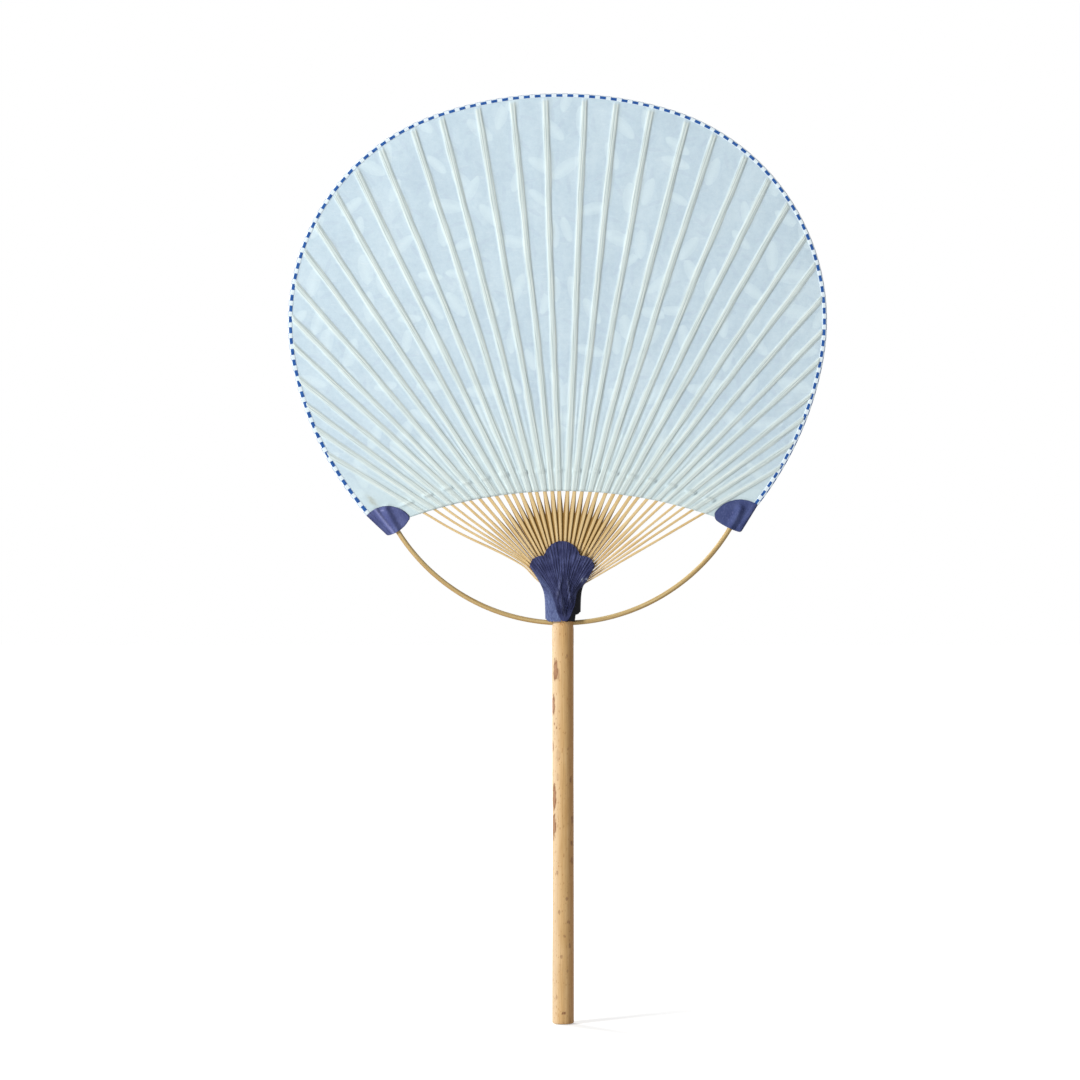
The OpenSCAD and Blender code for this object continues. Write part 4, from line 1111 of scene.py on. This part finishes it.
in_row = add_node(tree, "ShaderNodeMath", {0: 1.0, 1: row_gap.outputs[0]}, operation="SUBTRACT")
margined = add_node(tree, "ShaderNodeMath", {0: margin.outputs[0], 1: in_row.outputs[0]},
                    operation="MULTIPLY")
check_in = add_node(tree, "ShaderNodeMath", {0: check.outputs[0], 1: margined.outputs[0]},
                    operation="MULTIPLY")
ink_wear = add_node(tree, "ShaderNodeTexNoise",
                    {"Vector": tape_place.outputs["Object"], "Scale": 1000 / 1.2, "Detail": 3.0})
ink = add_node(tree, "ShaderNodeValToRGB", {"Fac": ink_wear.outputs[0]},
               stops=[(0.3, "#194c93"), (0.55, "#235aa4"), (0.8, "#3b71b5")])
tape_tone = add_node(tree, "ShaderNodeMix", {0: check_in.outputs[0], 6: linear("#e6f3fa"), 7: ink.outputs[0]},
                     data_type="RGBA")
tape_bump = add_node(tree, "ShaderNodeBump",
                     {"Height": ink_wear.outputs[0], "Strength": 0.3, "Distance": 0.00008})
tape_shader = add_node(tree, "ShaderNodeBsdfPrincipled", {
    "Base Color": tape_tone.outputs[2], "Roughness": 0.8, "IOR": 1.4, "Normal": tape_bump.outputs[0]})
add_node(tree, "ShaderNodeOutputMaterial", {"Surface": tape_shader.outputs[0]})
tape.data.materials.append(checked_paper)


# Corner patches
# At each lower corner a round patch of navy crepe paper is folded over the cut edge and pasted to both faces.
# It covers the end of the bow, its lashing and the ends of the rim tape, whose forms swell up under it.
patch_t = 0.22
# Heights of its outside from the fan's plane beside the ends of the bow and over them
patch_low, patch_over_bow = 0.55, 2.14
patch_rows, patch_cols = 110, 61
edge_round = 0.62
# Angles between which the edge turns round its inner end
end_from, end_to = 222, 140
patches = []


def arc_points(centre, radius, degrees):
    """Points of an arc, by their angles from the way across."""
    a = np.radians(degrees)
    return centre + radius * np.stack([np.cos(a), np.sin(a)], -1)


def spaced(points, count):
    """Points spread evenly along a line."""
    steps = np.concatenate([[0], np.cumsum(np.linalg.norm(np.diff(points, axis=0), axis=1))])
    at = np.linspace(0, steps[-1], count)
    return np.stack([np.interp(at, steps, points[:, k]) for k in (0, 1)], -1)


def beside_line(x, z, start, stop):
    """How far points lie to the right of a line on the face, as one looks along it."""
    way = (np.array(stop) - np.array(start)) / np.linalg.norm(np.array(stop) - np.array(start))
    return (x - start[0]) * way[1] - (z - start[1]) * way[0]


for patch_name, node_name, side in (
    ("left_corner_patch", "left_ear", -1), ("right_corner_patch", "right_ear", 1),
):
    tip, patch_r = corner_tips[side], patch_radii[side]
    cut = rim_reach(np.array(corner_angle)) * heading(corner_angle) - tip
    fold_angle = math.degrees(math.atan2(cut[1], cut[0]))
    end_r = 1.7 if side < 0 else 3.4
    end_c = arc_points(np.zeros(2), patch_r - end_r, end_to)
    # The free edge, drawn as on the right corner: from the tip along the lower side, round the inner end, and
    # over the top to the rim
    start, stop = np.array([-0.75, -0.75]), arc_points(end_c, end_r, end_from)
    t = np.linspace(0, 1, 20)[:-1, None]
    out_bulge = (1.15 if side < 0 else 0.5) * np.array([-0.643, -0.766])
    free = np.concatenate([mix(start, stop, t) + 4 * t * (1 - t) * out_bulge,
                           arc_points(end_c, end_r, np.linspace(end_from, end_to, 24)),
                           arc_points(np.zeros(2), patch_r, np.linspace(end_to - 2, fold_angle + 1.2, 60))])
    fold_end = arc_points(np.zeros(2), patch_r, fold_angle)
    fold = np.array([[-0.3, -0.8], [0.3, -0.6]] + [
        list(mix(np.array([0.75, -0.15]), fold_end, t)) for t in np.linspace(0, 1.0, 30)])
    free, fold = spaced(free, patch_rows), spaced(fold, patch_rows)
    run = np.linspace(-1, 1, patch_cols)
    part = np.abs(run) ** 1.35
    flat = fold[:, None] + (free - fold)[:, None] * part[None, :, None]
    # The free edge was cut by hand
    row = np.arange(patch_rows)
    rough = 0.10 * wander(row / 4.1, 0.3, 61 + side) + 0.05 * wander(row / 1.3, 0.3, 62)
    flat = flat + (free - fold)[:, None] / 12 * (rough[:, None] * part[None, :] ** 4)[..., None]
    x, up = from_head(side * (tip[0] + flat[..., 0]), tip[1] + flat[..., 1])
    z = fan_z + up
    angle, far = np.degrees(np.arctan2(x, up)), np.hypot(x, up)
    outer_rib = 1 if side < 0 else rib_count
    across = far * np.radians(angle - rib_angle(outer_rib)) - rib_sway(outer_rib, far)
    from_fold = np.linalg.norm(flat - fold[:, None], axis=-1)
    heights = []
    painted_fold_light = np.zeros_like(x)
    for face in (-1, 1):
        under = stretched_height(angle, far, across, np.full_like(far, outer_rib), face)[0]
        under = np.maximum(under, 0.53 * smooth((2.3 - from_fold) / 0.5))
        height = under + 0.02 + patch_t
        height = np.maximum(height, bow_swell(x, z, patch_low, patch_over_bow))
        creases = (0.10 * wander(x / 1.9 + z / 2.3, z / 2.1 - x / 2.6, 63 + face)
                   + 0.05 * wander(x / 0.7, z / 0.8, 64))
        if side < 0 and face < 0:
            # A stiff fold that stands up along the outer side, and the hollow beside it
            off = beside_line(x, z, (-86.9, 238.6), (-79.6, 229.2))
            height = height + 0.95 * np.exp(-(off / 0.85) ** 2) - 0.22 * np.exp(-((off + 1.7) / 0.6) ** 2)
            # Painted light on the fold: a highlight along its crest, shade in the hollow beside it and a
            # glint near its top
            painted_fold_light = np.where(run[None, :] < 0, 0.9 * np.exp(-((off + 0.1) / 0.8) ** 2)
                             - 0.9 * np.exp(-((off + 1.75) / 0.75) ** 2) * smooth((236.5 - z) / 3), 0)
            painted_fold_light = np.maximum(painted_fold_light, 1.6 * np.exp(-((x + 84.1) / 0.8) ** 2 - ((z - 238.6) / 0.35) ** 2))
        if side > 0 and face < 0:
            # Low folds on both sides of a line up from the tip
            off = beside_line(x, z, (90.6, 236.0), (83.0, 228.6))
            height = height + 0.22 * np.exp(-((np.abs(off) - 2.6) / 0.8) ** 2)
        heights.append(np.maximum(height + creases * smooth(from_fold / 2), under + patch_t + 0.12))
    height = np.where(run[None, :] < 0, heights[0], heights[1])
    # The fold is round, and bulges a little beyond the cut edge
    to_flat = np.clip(from_fold / edge_round, 0, 1)
    around = np.sqrt(np.clip(1 - (1 - to_flat) ** 2, 0, 1))
    sign = np.sign(run)[None, :]
    bulge = 0.26 * (1 - to_flat) ** 0.5
    fold_way = (fold - free) / np.linalg.norm(fold - free, axis=1)[:, None]
    push = bulge[..., None] * fold_way[:, None] * np.array([side, 1])
    outer = np.stack([x + push[..., 0], sign * height * around, z + push[..., 1]], -1)
    inner = np.stack([x + push[..., 0] * 0.2, sign * (height - patch_t) * around, z + push[..., 1] * 0.2], -1)
    rim_dark = np.maximum(np.exp(-(from_fold / 0.7) ** 2),
                          np.exp(-(np.linalg.norm(flat - free[:, None], axis=-1) / 0.35) ** 2))
    patch = shell_mesh(patch_name, outer, inner, {
        "rim_dark": rim_dark, "painted_fold_light": painted_fold_light, "side_mark": (side + 1) / 2})
    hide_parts(node_name)
    patches.append(patch)

# Crepe paper dyed a deep indigo: matt, finely crinkled, paler along its creases where the dye has worn
navy_crepe, tree = new_material("indigo_crepe_paper")
crepe_place = add_node(tree, "ShaderNodeTexCoord")
crinkle_place = add_node(tree, "ShaderNodeMapping",
                         {"Vector": crepe_place.outputs["Object"], "Rotation": (0, 0.35, 0),
                          "Scale": (1000 / 0.55, 1000 / 0.55, 1000 / 1.3)})
crinkle = add_node(tree, "ShaderNodeTexNoise", {
    "Vector": crinkle_place.outputs[0], "Scale": 1.0, "Detail": 4.0, "Roughness": 0.65, "Distortion": 0.4})
dye = add_node(tree, "ShaderNodeTexNoise", {
    "Vector": crepe_place.outputs["Object"], "Scale": 1000 / 5.0, "Detail": 3.0})
left_tone = add_node(tree, "ShaderNodeValToRGB", {"Fac": dye.outputs[0]},
                     stops=[(0.32, "#4a5182"), (0.5, "#555d8e"), (0.7, "#626a9a")])
right_tone = add_node(tree, "ShaderNodeValToRGB", {"Fac": dye.outputs[0]},
                      stops=[(0.32, "#3c4675"), (0.5, "#465180"), (0.7, "#525d8c")])
side_mark = add_node(tree, "ShaderNodeAttribute", attribute_name="side_mark")
dye_tone = add_node(tree, "ShaderNodeMix", {0: side_mark.outputs["Fac"], 6: left_tone.outputs[0],
                                            7: right_tone.outputs[0]}, data_type="RGBA")
wear = add_node(tree, "ShaderNodeMapRange", {0: crinkle.outputs[0], 1: 0.54, 2: 0.76, 3: 0.0, 4: 0.5})
worn = add_node(tree, "ShaderNodeMix", {0: wear.outputs[0], 6: dye_tone.outputs[2], 7: linear("#7f86b8")},
                data_type="RGBA")
rim_mark = add_node(tree, "ShaderNodeAttribute", attribute_name="rim_dark")
rim_part = add_node(tree, "ShaderNodeMath", {0: rim_mark.outputs["Fac"], 1: 0.6}, operation="MULTIPLY")
rimmed = add_node(tree, "ShaderNodeMix", {0: rim_part.outputs[0], 6: worn.outputs[2], 7: linear("#24284c")},
                  data_type="RGBA")
# Painted highlight along the left patch's fold, and painted shade in the hollow beside it
fold_light_mark = add_node(tree, "ShaderNodeAttribute", attribute_name="painted_fold_light")
fold_highlight_part = add_node(tree, "ShaderNodeMapRange",
                      {0: fold_light_mark.outputs["Fac"], 1: 0.1, 2: 1.0, 3: 0.0, 4: 0.7})
fold_highlighted = add_node(tree, "ShaderNodeMix", {0: fold_highlight_part.outputs[0], 6: rimmed.outputs[2],
                                           7: linear("#9096c6")}, data_type="RGBA")
hollow_shade_part = add_node(tree, "ShaderNodeMapRange",
                       {0: fold_light_mark.outputs["Fac"], 1: -0.1, 2: -1.0, 3: 0.0, 4: 0.7})
hollow_shaded = add_node(tree, "ShaderNodeMix", {0: hollow_shade_part.outputs[0], 6: fold_highlighted.outputs[2],
                                            7: linear("#2a2f5c")}, data_type="RGBA")
crepe_bump = add_node(tree, "ShaderNodeBump",
                      {"Height": crinkle.outputs[0], "Strength": 0.7, "Distance": 0.00025})
crepe_shader = add_node(tree, "ShaderNodeBsdfPrincipled", {
    "Base Color": hollow_shaded.outputs[2], "Roughness": 0.8, "Specular IOR Level": 0.2,
    "Normal": crepe_bump.outputs[0]})
add_node(tree, "ShaderNodeOutputMaterial", {"Surface": crepe_shader.outputs[0]})
for patch in patches:
    patch.data.materials.append(navy_crepe)


# Neck wrapping, back
# The split of the culm is wrapped in the same navy paper. The back piece lies on the strands behind, runs
# round both sides and is folded on to the front as two flaps. On the right its lower end has shrunk back and
# shows the culm.
wrap_low = 187.0
lobe_r, lobe_h = 8.5, 215.9
side_lobe_r, side_lobe = 7.0, (9.3, 210.6)
wrap_edge = 15.3
petal_top = 204.0


def wrap_half_w(z):
    """Half the wrapping's width: straight below, and widening evenly above."""
    return 7.8 + 0.31 * ((z - 201) + np.sqrt((z - 201) ** 2 + 16))


def wrap_half_d(z):
    """Half the wrapping's depth: it thins as the two rows of strands close up."""
    return mix(5.7, 0.75, smooth((z - wrap_low) / 43))


def wrap_gap(z):
    """How far the wrapping's sides stand from the fan's plane: closed below, and open above for the ribs."""
    return np.minimum(wrap_half_d(z), 0.97 * smooth((z - 196) / 6))


def wrap_top(x):
    """Height of the wrapping's upper edge: a round lobe in the middle and a smaller one at each side."""
    x = np.abs(x)
    low = side_lobe[1] + np.sqrt(np.maximum(0, side_lobe_r ** 2 - (x - side_lobe[0]) ** 2))
    low = low - 1.6 * smooth((x - 13.2) / 2.3) ** 1.5
    high = lobe_h + np.sqrt(np.maximum(0, lobe_r ** 2 - x * x)) - 40 * smooth((x - lobe_r) / 1.5)
    # The notch between two lobes is rounded
    return np.logaddexp(low * 1.8, high * 1.8) / 1.8


def strand_way(x, z):
    """The way a strand under the paper runs, in degrees from upright, and how far up it a point lies."""
    up = 0.5 * ((z - 197) + np.sqrt((z - 197) ** 2 + 49))
    return np.degrees(np.arctan2(x, up)), np.hypot(x, up)


def strand_pleats(x, z, seed, sharp=1.0):
    """Folds of paper pressed on to the strands: they fan out from where the culm is split."""
    way, far = strand_way(x, z)
    pressed = 1 - 2 * np.abs(np.sin(way * math.pi / 3.6 + 0.8 * wander(far / 7, way / 9, seed))) ** 0.7
    fine = wander(way / 1.9, far / 7, seed + 1)
    return sharp * (0.13 * pressed + 0.17 * fine)


wrap_rows, wrap_cols = 120, 260
up_part = (np.arange(wrap_rows) / (wrap_rows - 1))[:, None]
way_part = (np.arange(wrap_cols) / (wrap_cols - 1))[None, :]
side_z = mix(wrap_low, float(wrap_top(wrap_edge)), up_part)
flap = 84 * np.maximum(0, 1 - (side_z - wrap_low) / (petal_top + 1.5 - wrap_low)) ** 0.45
around = mix(-flap, 180 + flap, way_part)
over = wrap_edge * np.cos(np.radians(np.clip(around, 0, 180)))
# The lower edge rises a little over the bow on both sides, and further where the paper has shrunk
to_right = np.abs(np.where(around > 90, 180 - around, around)) / 25
low_edge = wrap_low + 1.25 * smooth(1.5 - to_right)
low_edge = (low_edge + 3.2 * smooth((around + 49) / 5) * smooth((75 - around) / 20)
            + 0.12 * wander(around / 7, 0.2, 71))
z = mix(low_edge, wrap_top(over) + 0.15 * wander(over / 0.9, 0.6, 72), up_part)
lift = np.where((around < 0) | (around > 180), -1, 1)
pleats = strand_pleats(over * side_z / 215, z, 73) * smooth((z - 192) / 10)
fold_lines = 0.16 * wander(around / 9, z / 30, 76) + 0.07 * wander(around / 3, z / 12, 77)
swell = np.maximum(pleats + fold_lines * smooth((z - wrap_low) / 3) + 0.05, -0.2)
to_side, to_back = np.cos(np.radians(around)), np.sin(np.radians(around))


def back_surface(out_by, fold_share):
    """One surface of the back piece, so far out from the neck, and with so much of the folds."""
    gap = wrap_gap(z)
    depth = lift * (gap + (wrap_half_d(z) - gap) * np.abs(to_back)) + to_back * (out_by + swell * fold_share)
    width = (wrap_half_w(side_z) + out_by) * to_side - 0.45 * smooth((side_z - 204) / 9)
    return np.stack([width, depth, z], -1)


back_outer = back_surface(0.27, 1)
back_wrap = shell_mesh("neck_wrap_back_paper", back_outer, back_surface(0.02, 0.92), {
    "pleat": pleats * 4, "way_deg": strand_way(over, z)[0], "up_mm": z,
    # Painted light: the left flap is painted paler as lit, and the right flap's lower part darker as shade
    "painted_highlight": smooth((around - 160) / 30) * smooth((205 - z) / 8),
    "painted_shade": smooth((12 - around) / 25) * smooth((207 - z) / 6), "nick": 0.0})
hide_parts("neck_wrap_back")


# Neck wrapping, front
# The front piece is pressed on to the front strands and ends below in a long petal, which is pasted down over
# the flaps. The strands and the way that it was gathered leave a fan of fine folds, with a painted highlight
# along their tops and painted shade in their hollows.
front_cols = 200
up_part = (np.arange(wrap_rows + 20) / (wrap_rows + 19))[:, None]
side_part = (2 * np.arange(front_cols) / (front_cols - 1) - 1)[None, :]


def petal_w(z):
    return 7.0 * np.maximum(0.004, (z - wrap_low + 0.1) / (petal_top - wrap_low)) ** 0.5


side_z = mix(wrap_low + 0.2, float(wrap_top(wrap_edge)), up_part)
z = mix(wrap_low + 0.2, wrap_top(side_part * wrap_edge) + 0.12 * wander(side_part * 22, 0.4, 81), up_part)
x = side_part * mix(petal_w(side_z), wrap_half_w(side_z), smooth((side_z - 199) / 7))
x = x + 0.12 * wander(z / 3.3, 0.7, 82) * np.abs(side_part) ** 3
x = x + 0.6 * smooth((203 - side_z) / 8) - 0.45 * smooth((side_z - 204) / 9)
gap = wrap_gap(z)
rounding = np.sqrt(np.maximum(0, 1 - np.minimum(1, np.abs(x) / wrap_half_w(z)) ** 2))
depth = gap + (wrap_half_d(z) - gap) * rounding
pleats = strand_pleats(x, z, 83, 1.15) * smooth((z - 188) / 5)
# Two folds stand up where the petal begins, with a hollow between them
fold_up = np.zeros_like(pleats)
for x0, z0, x1, z1, tall, wide in (
    (-1.0, 206.5, -2.9, 198.0, 0.50, 0.75), (2.2, 205.6, 3.3, 197.0, 0.55, 0.65),
    (0.5, 207.0, 0.4, 200.0, -0.42, 0.9), (-0.6, 197.5, 0.6, 190.5, 0.35, 0.8),
    (5.4, 203.5, 5.0, 195.5, -0.30, 0.5),
):
    way = np.array([x1 - x0, z1 - z0])
    t = np.clip(((x - x0) * way[0] + (z - z0) * way[1]) / (way @ way), 0, 1)
    off = np.hypot(x - x0 - t * way[0], (z - z0 - t * way[1]) * 0.45)
    fold_up = fold_up + tall * np.exp(-(off / wide) ** 2)
swell = np.maximum(pleats + fold_up, -0.22)
pressed = smooth((1 - np.abs(side_part)) / 0.08)
front_outer = np.stack([x, -depth - 0.60 - swell * pressed, z], -1)
front_inner = np.stack([x, -depth - 0.37 - swell * pressed * 0.95, z], -1)
# Two spots where the paper is nicked and shows its pale pulp
nicks = (np.exp(-(np.hypot(x - 11.0, (z - 206.7) * 1.6) / 0.55) ** 2)
         + 0.6 * np.exp(-(np.hypot((x - 8.9) * 2.2, z - 206.3) / 0.9) ** 2))
front_wrap = shell_mesh("neck_wrap_front_paper", front_outer, front_inner, {
    "pleat": (pleats + fold_up * 0.8) * 4, "way_deg": strand_way(x, z)[0], "up_mm": z, "nick": nicks,
    # Painted light: the left edge is painted paler as lit, and the lower right darker as shade
    "painted_highlight": 0.7 * smooth((-side_part - 0.86) / 0.12) * smooth((213 - z) / 8),
    "painted_shade": 0.6 * smooth((x - 4) / 3) * smooth((206 - z) / 4)})
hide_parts("neck_wrap_front")

# The same crepe paper as the patches, with painted light: the tops of its folds are painted paler as a
# highlight and their hollows darker as shade, and its left side is painted paler as lit and its right darker
# as shade
crepe_with_painted_light, tree = new_material("folded_indigo_crepe_paper")
wrap_place = add_node(tree, "ShaderNodeTexCoord")
pleat_mark = add_node(tree, "ShaderNodeAttribute", attribute_name="pleat")
crinkle_place = add_node(tree, "ShaderNodeMapping", {
    "Vector": wrap_place.outputs["Object"], "Scale": (1000 / 0.35, 1000 / 0.6, 1000 / 1.6)})
crinkle = add_node(tree, "ShaderNodeTexNoise", {
    "Vector": crinkle_place.outputs[0], "Scale": 1.0, "Detail": 4.0, "Roughness": 0.65})
dye = add_node(tree, "ShaderNodeTexNoise", {"Vector": wrap_place.outputs["Object"], "Scale": 1000 / 4.0,
                                            "Detail": 3.0})
dye_tone = add_node(tree, "ShaderNodeValToRGB", {"Fac": dye.outputs[0]},
                    stops=[(0.32, "#2d3157"), (0.5, "#393e66"), (0.7, "#4a507b")])
way_mark = add_node(tree, "ShaderNodeAttribute", attribute_name="way_deg")
height_mark = add_node(tree, "ShaderNodeAttribute", attribute_name="up_mm")
pleat_place = add_node(tree, "ShaderNodeCombineXYZ",
                       {0: way_mark.outputs["Fac"], 1: height_mark.outputs["Fac"]})
pleat_scale = add_node(tree, "ShaderNodeMapping",
                       {"Vector": pleat_place.outputs[0], "Scale": (1 / 1.3, 1 / 5, 1)})
fine_pleats = add_node(tree, "ShaderNodeTexNoise",
                       {"Vector": pleat_scale.outputs[0], "Scale": 1.0, "Detail": 2.0}, noise_dimensions="2D")
fine_height = add_node(tree, "ShaderNodeMapRange",
                       {0: fine_pleats.outputs[0], 1: 0.3, 2: 0.7, 3: -1.0, 4: 1.0})
fine_part = add_node(tree, "ShaderNodeMapRange",
                     {0: height_mark.outputs["Fac"], 1: 193.0, 2: 206.0, 3: 0.15, 4: 0.8})
pleat_sum = add_node(tree, "ShaderNodeMath",
                     {0: fine_height.outputs[0], 1: fine_part.outputs[0], 2: pleat_mark.outputs["Fac"]},
                     operation="MULTIPLY_ADD")
# Painted highlight on the fold tops, broken up by the crinkle, and painted shade in the hollows
fold_top_highlight = add_node(tree, "ShaderNodeMapRange", {0: pleat_sum.outputs[0], 1: 0.35, 2: 1.5, 3: 0.0, 4: 0.7})
highlight_breakup = add_node(tree, "ShaderNodeMapRange", {0: crinkle.outputs[0], 1: 0.4, 2: 0.62, 3: 0.25, 4: 1.0})
top_highlight_part = add_node(tree, "ShaderNodeMath", {0: fold_top_highlight.outputs[0], 1: highlight_breakup.outputs[0]},
                    operation="MULTIPLY")
painted_highlight = add_node(tree, "ShaderNodeMix", {0: top_highlight_part.outputs[0], 6: dye_tone.outputs[0],
                                         7: linear("#7c82a8")}, data_type="RGBA")
fold_hollow_shade = add_node(tree, "ShaderNodeMapRange", {0: pleat_sum.outputs[0], 1: -0.3, 2: -1.5, 3: 0.0, 4: 0.6})
painted_shade = add_node(tree, "ShaderNodeMix", {0: fold_hollow_shade.outputs[0], 6: painted_highlight.outputs[2], 7: linear("#1b1e3c")},
                  data_type="RGBA")
painted_highlight_mark = add_node(tree, "ShaderNodeAttribute", attribute_name="painted_highlight")
painted_shade_mark = add_node(tree, "ShaderNodeAttribute", attribute_name="painted_shade")
nick_mark = add_node(tree, "ShaderNodeAttribute", attribute_name="nick")
# The left sides are painted in a paler crinkled tone as lit, and the right sides near black as shade
lit_side_tone = add_node(tree, "ShaderNodeValToRGB", {"Fac": crinkle.outputs[0]},
                     stops=[(0.34, "#434c76"), (0.5, "#545f88"), (0.66, "#6e7ba4")])
lit_side = add_node(tree, "ShaderNodeMix", {0: painted_highlight_mark.outputs["Fac"], 6: painted_shade.outputs[2],
                                             7: lit_side_tone.outputs[0]}, data_type="RGBA")
shaded_side = add_node(tree, "ShaderNodeMix", {0: painted_shade_mark.outputs["Fac"], 6: lit_side.outputs[2],
                                               7: linear("#0f1019")}, data_type="RGBA")
nicked = add_node(tree, "ShaderNodeMix", {0: nick_mark.outputs["Fac"], 6: shaded_side.outputs[2],
                                          7: linear("#b9c3d6")}, data_type="RGBA")
fine_bump = add_node(tree, "ShaderNodeBump",
                     {"Height": fine_pleats.outputs[0], "Strength": fine_part.outputs[0], "Distance": 0.0006})
crepe_bump = add_node(tree, "ShaderNodeBump",
                      {"Height": crinkle.outputs[0], "Strength": 0.5, "Distance": 0.0002,
                       "Normal": fine_bump.outputs[0]})
crepe_shader = add_node(tree, "ShaderNodeBsdfPrincipled", {
    "Base Color": nicked.outputs[2], "Roughness": 0.75, "Specular IOR Level": 0.2,
    "Normal": crepe_bump.outputs[0]})
add_node(tree, "ShaderNodeOutputMaterial", {"Surface": crepe_shader.outputs[0]})
front_wrap.data.materials.append(crepe_with_painted_light)
back_wrap.data.materials.append(crepe_with_painted_light)
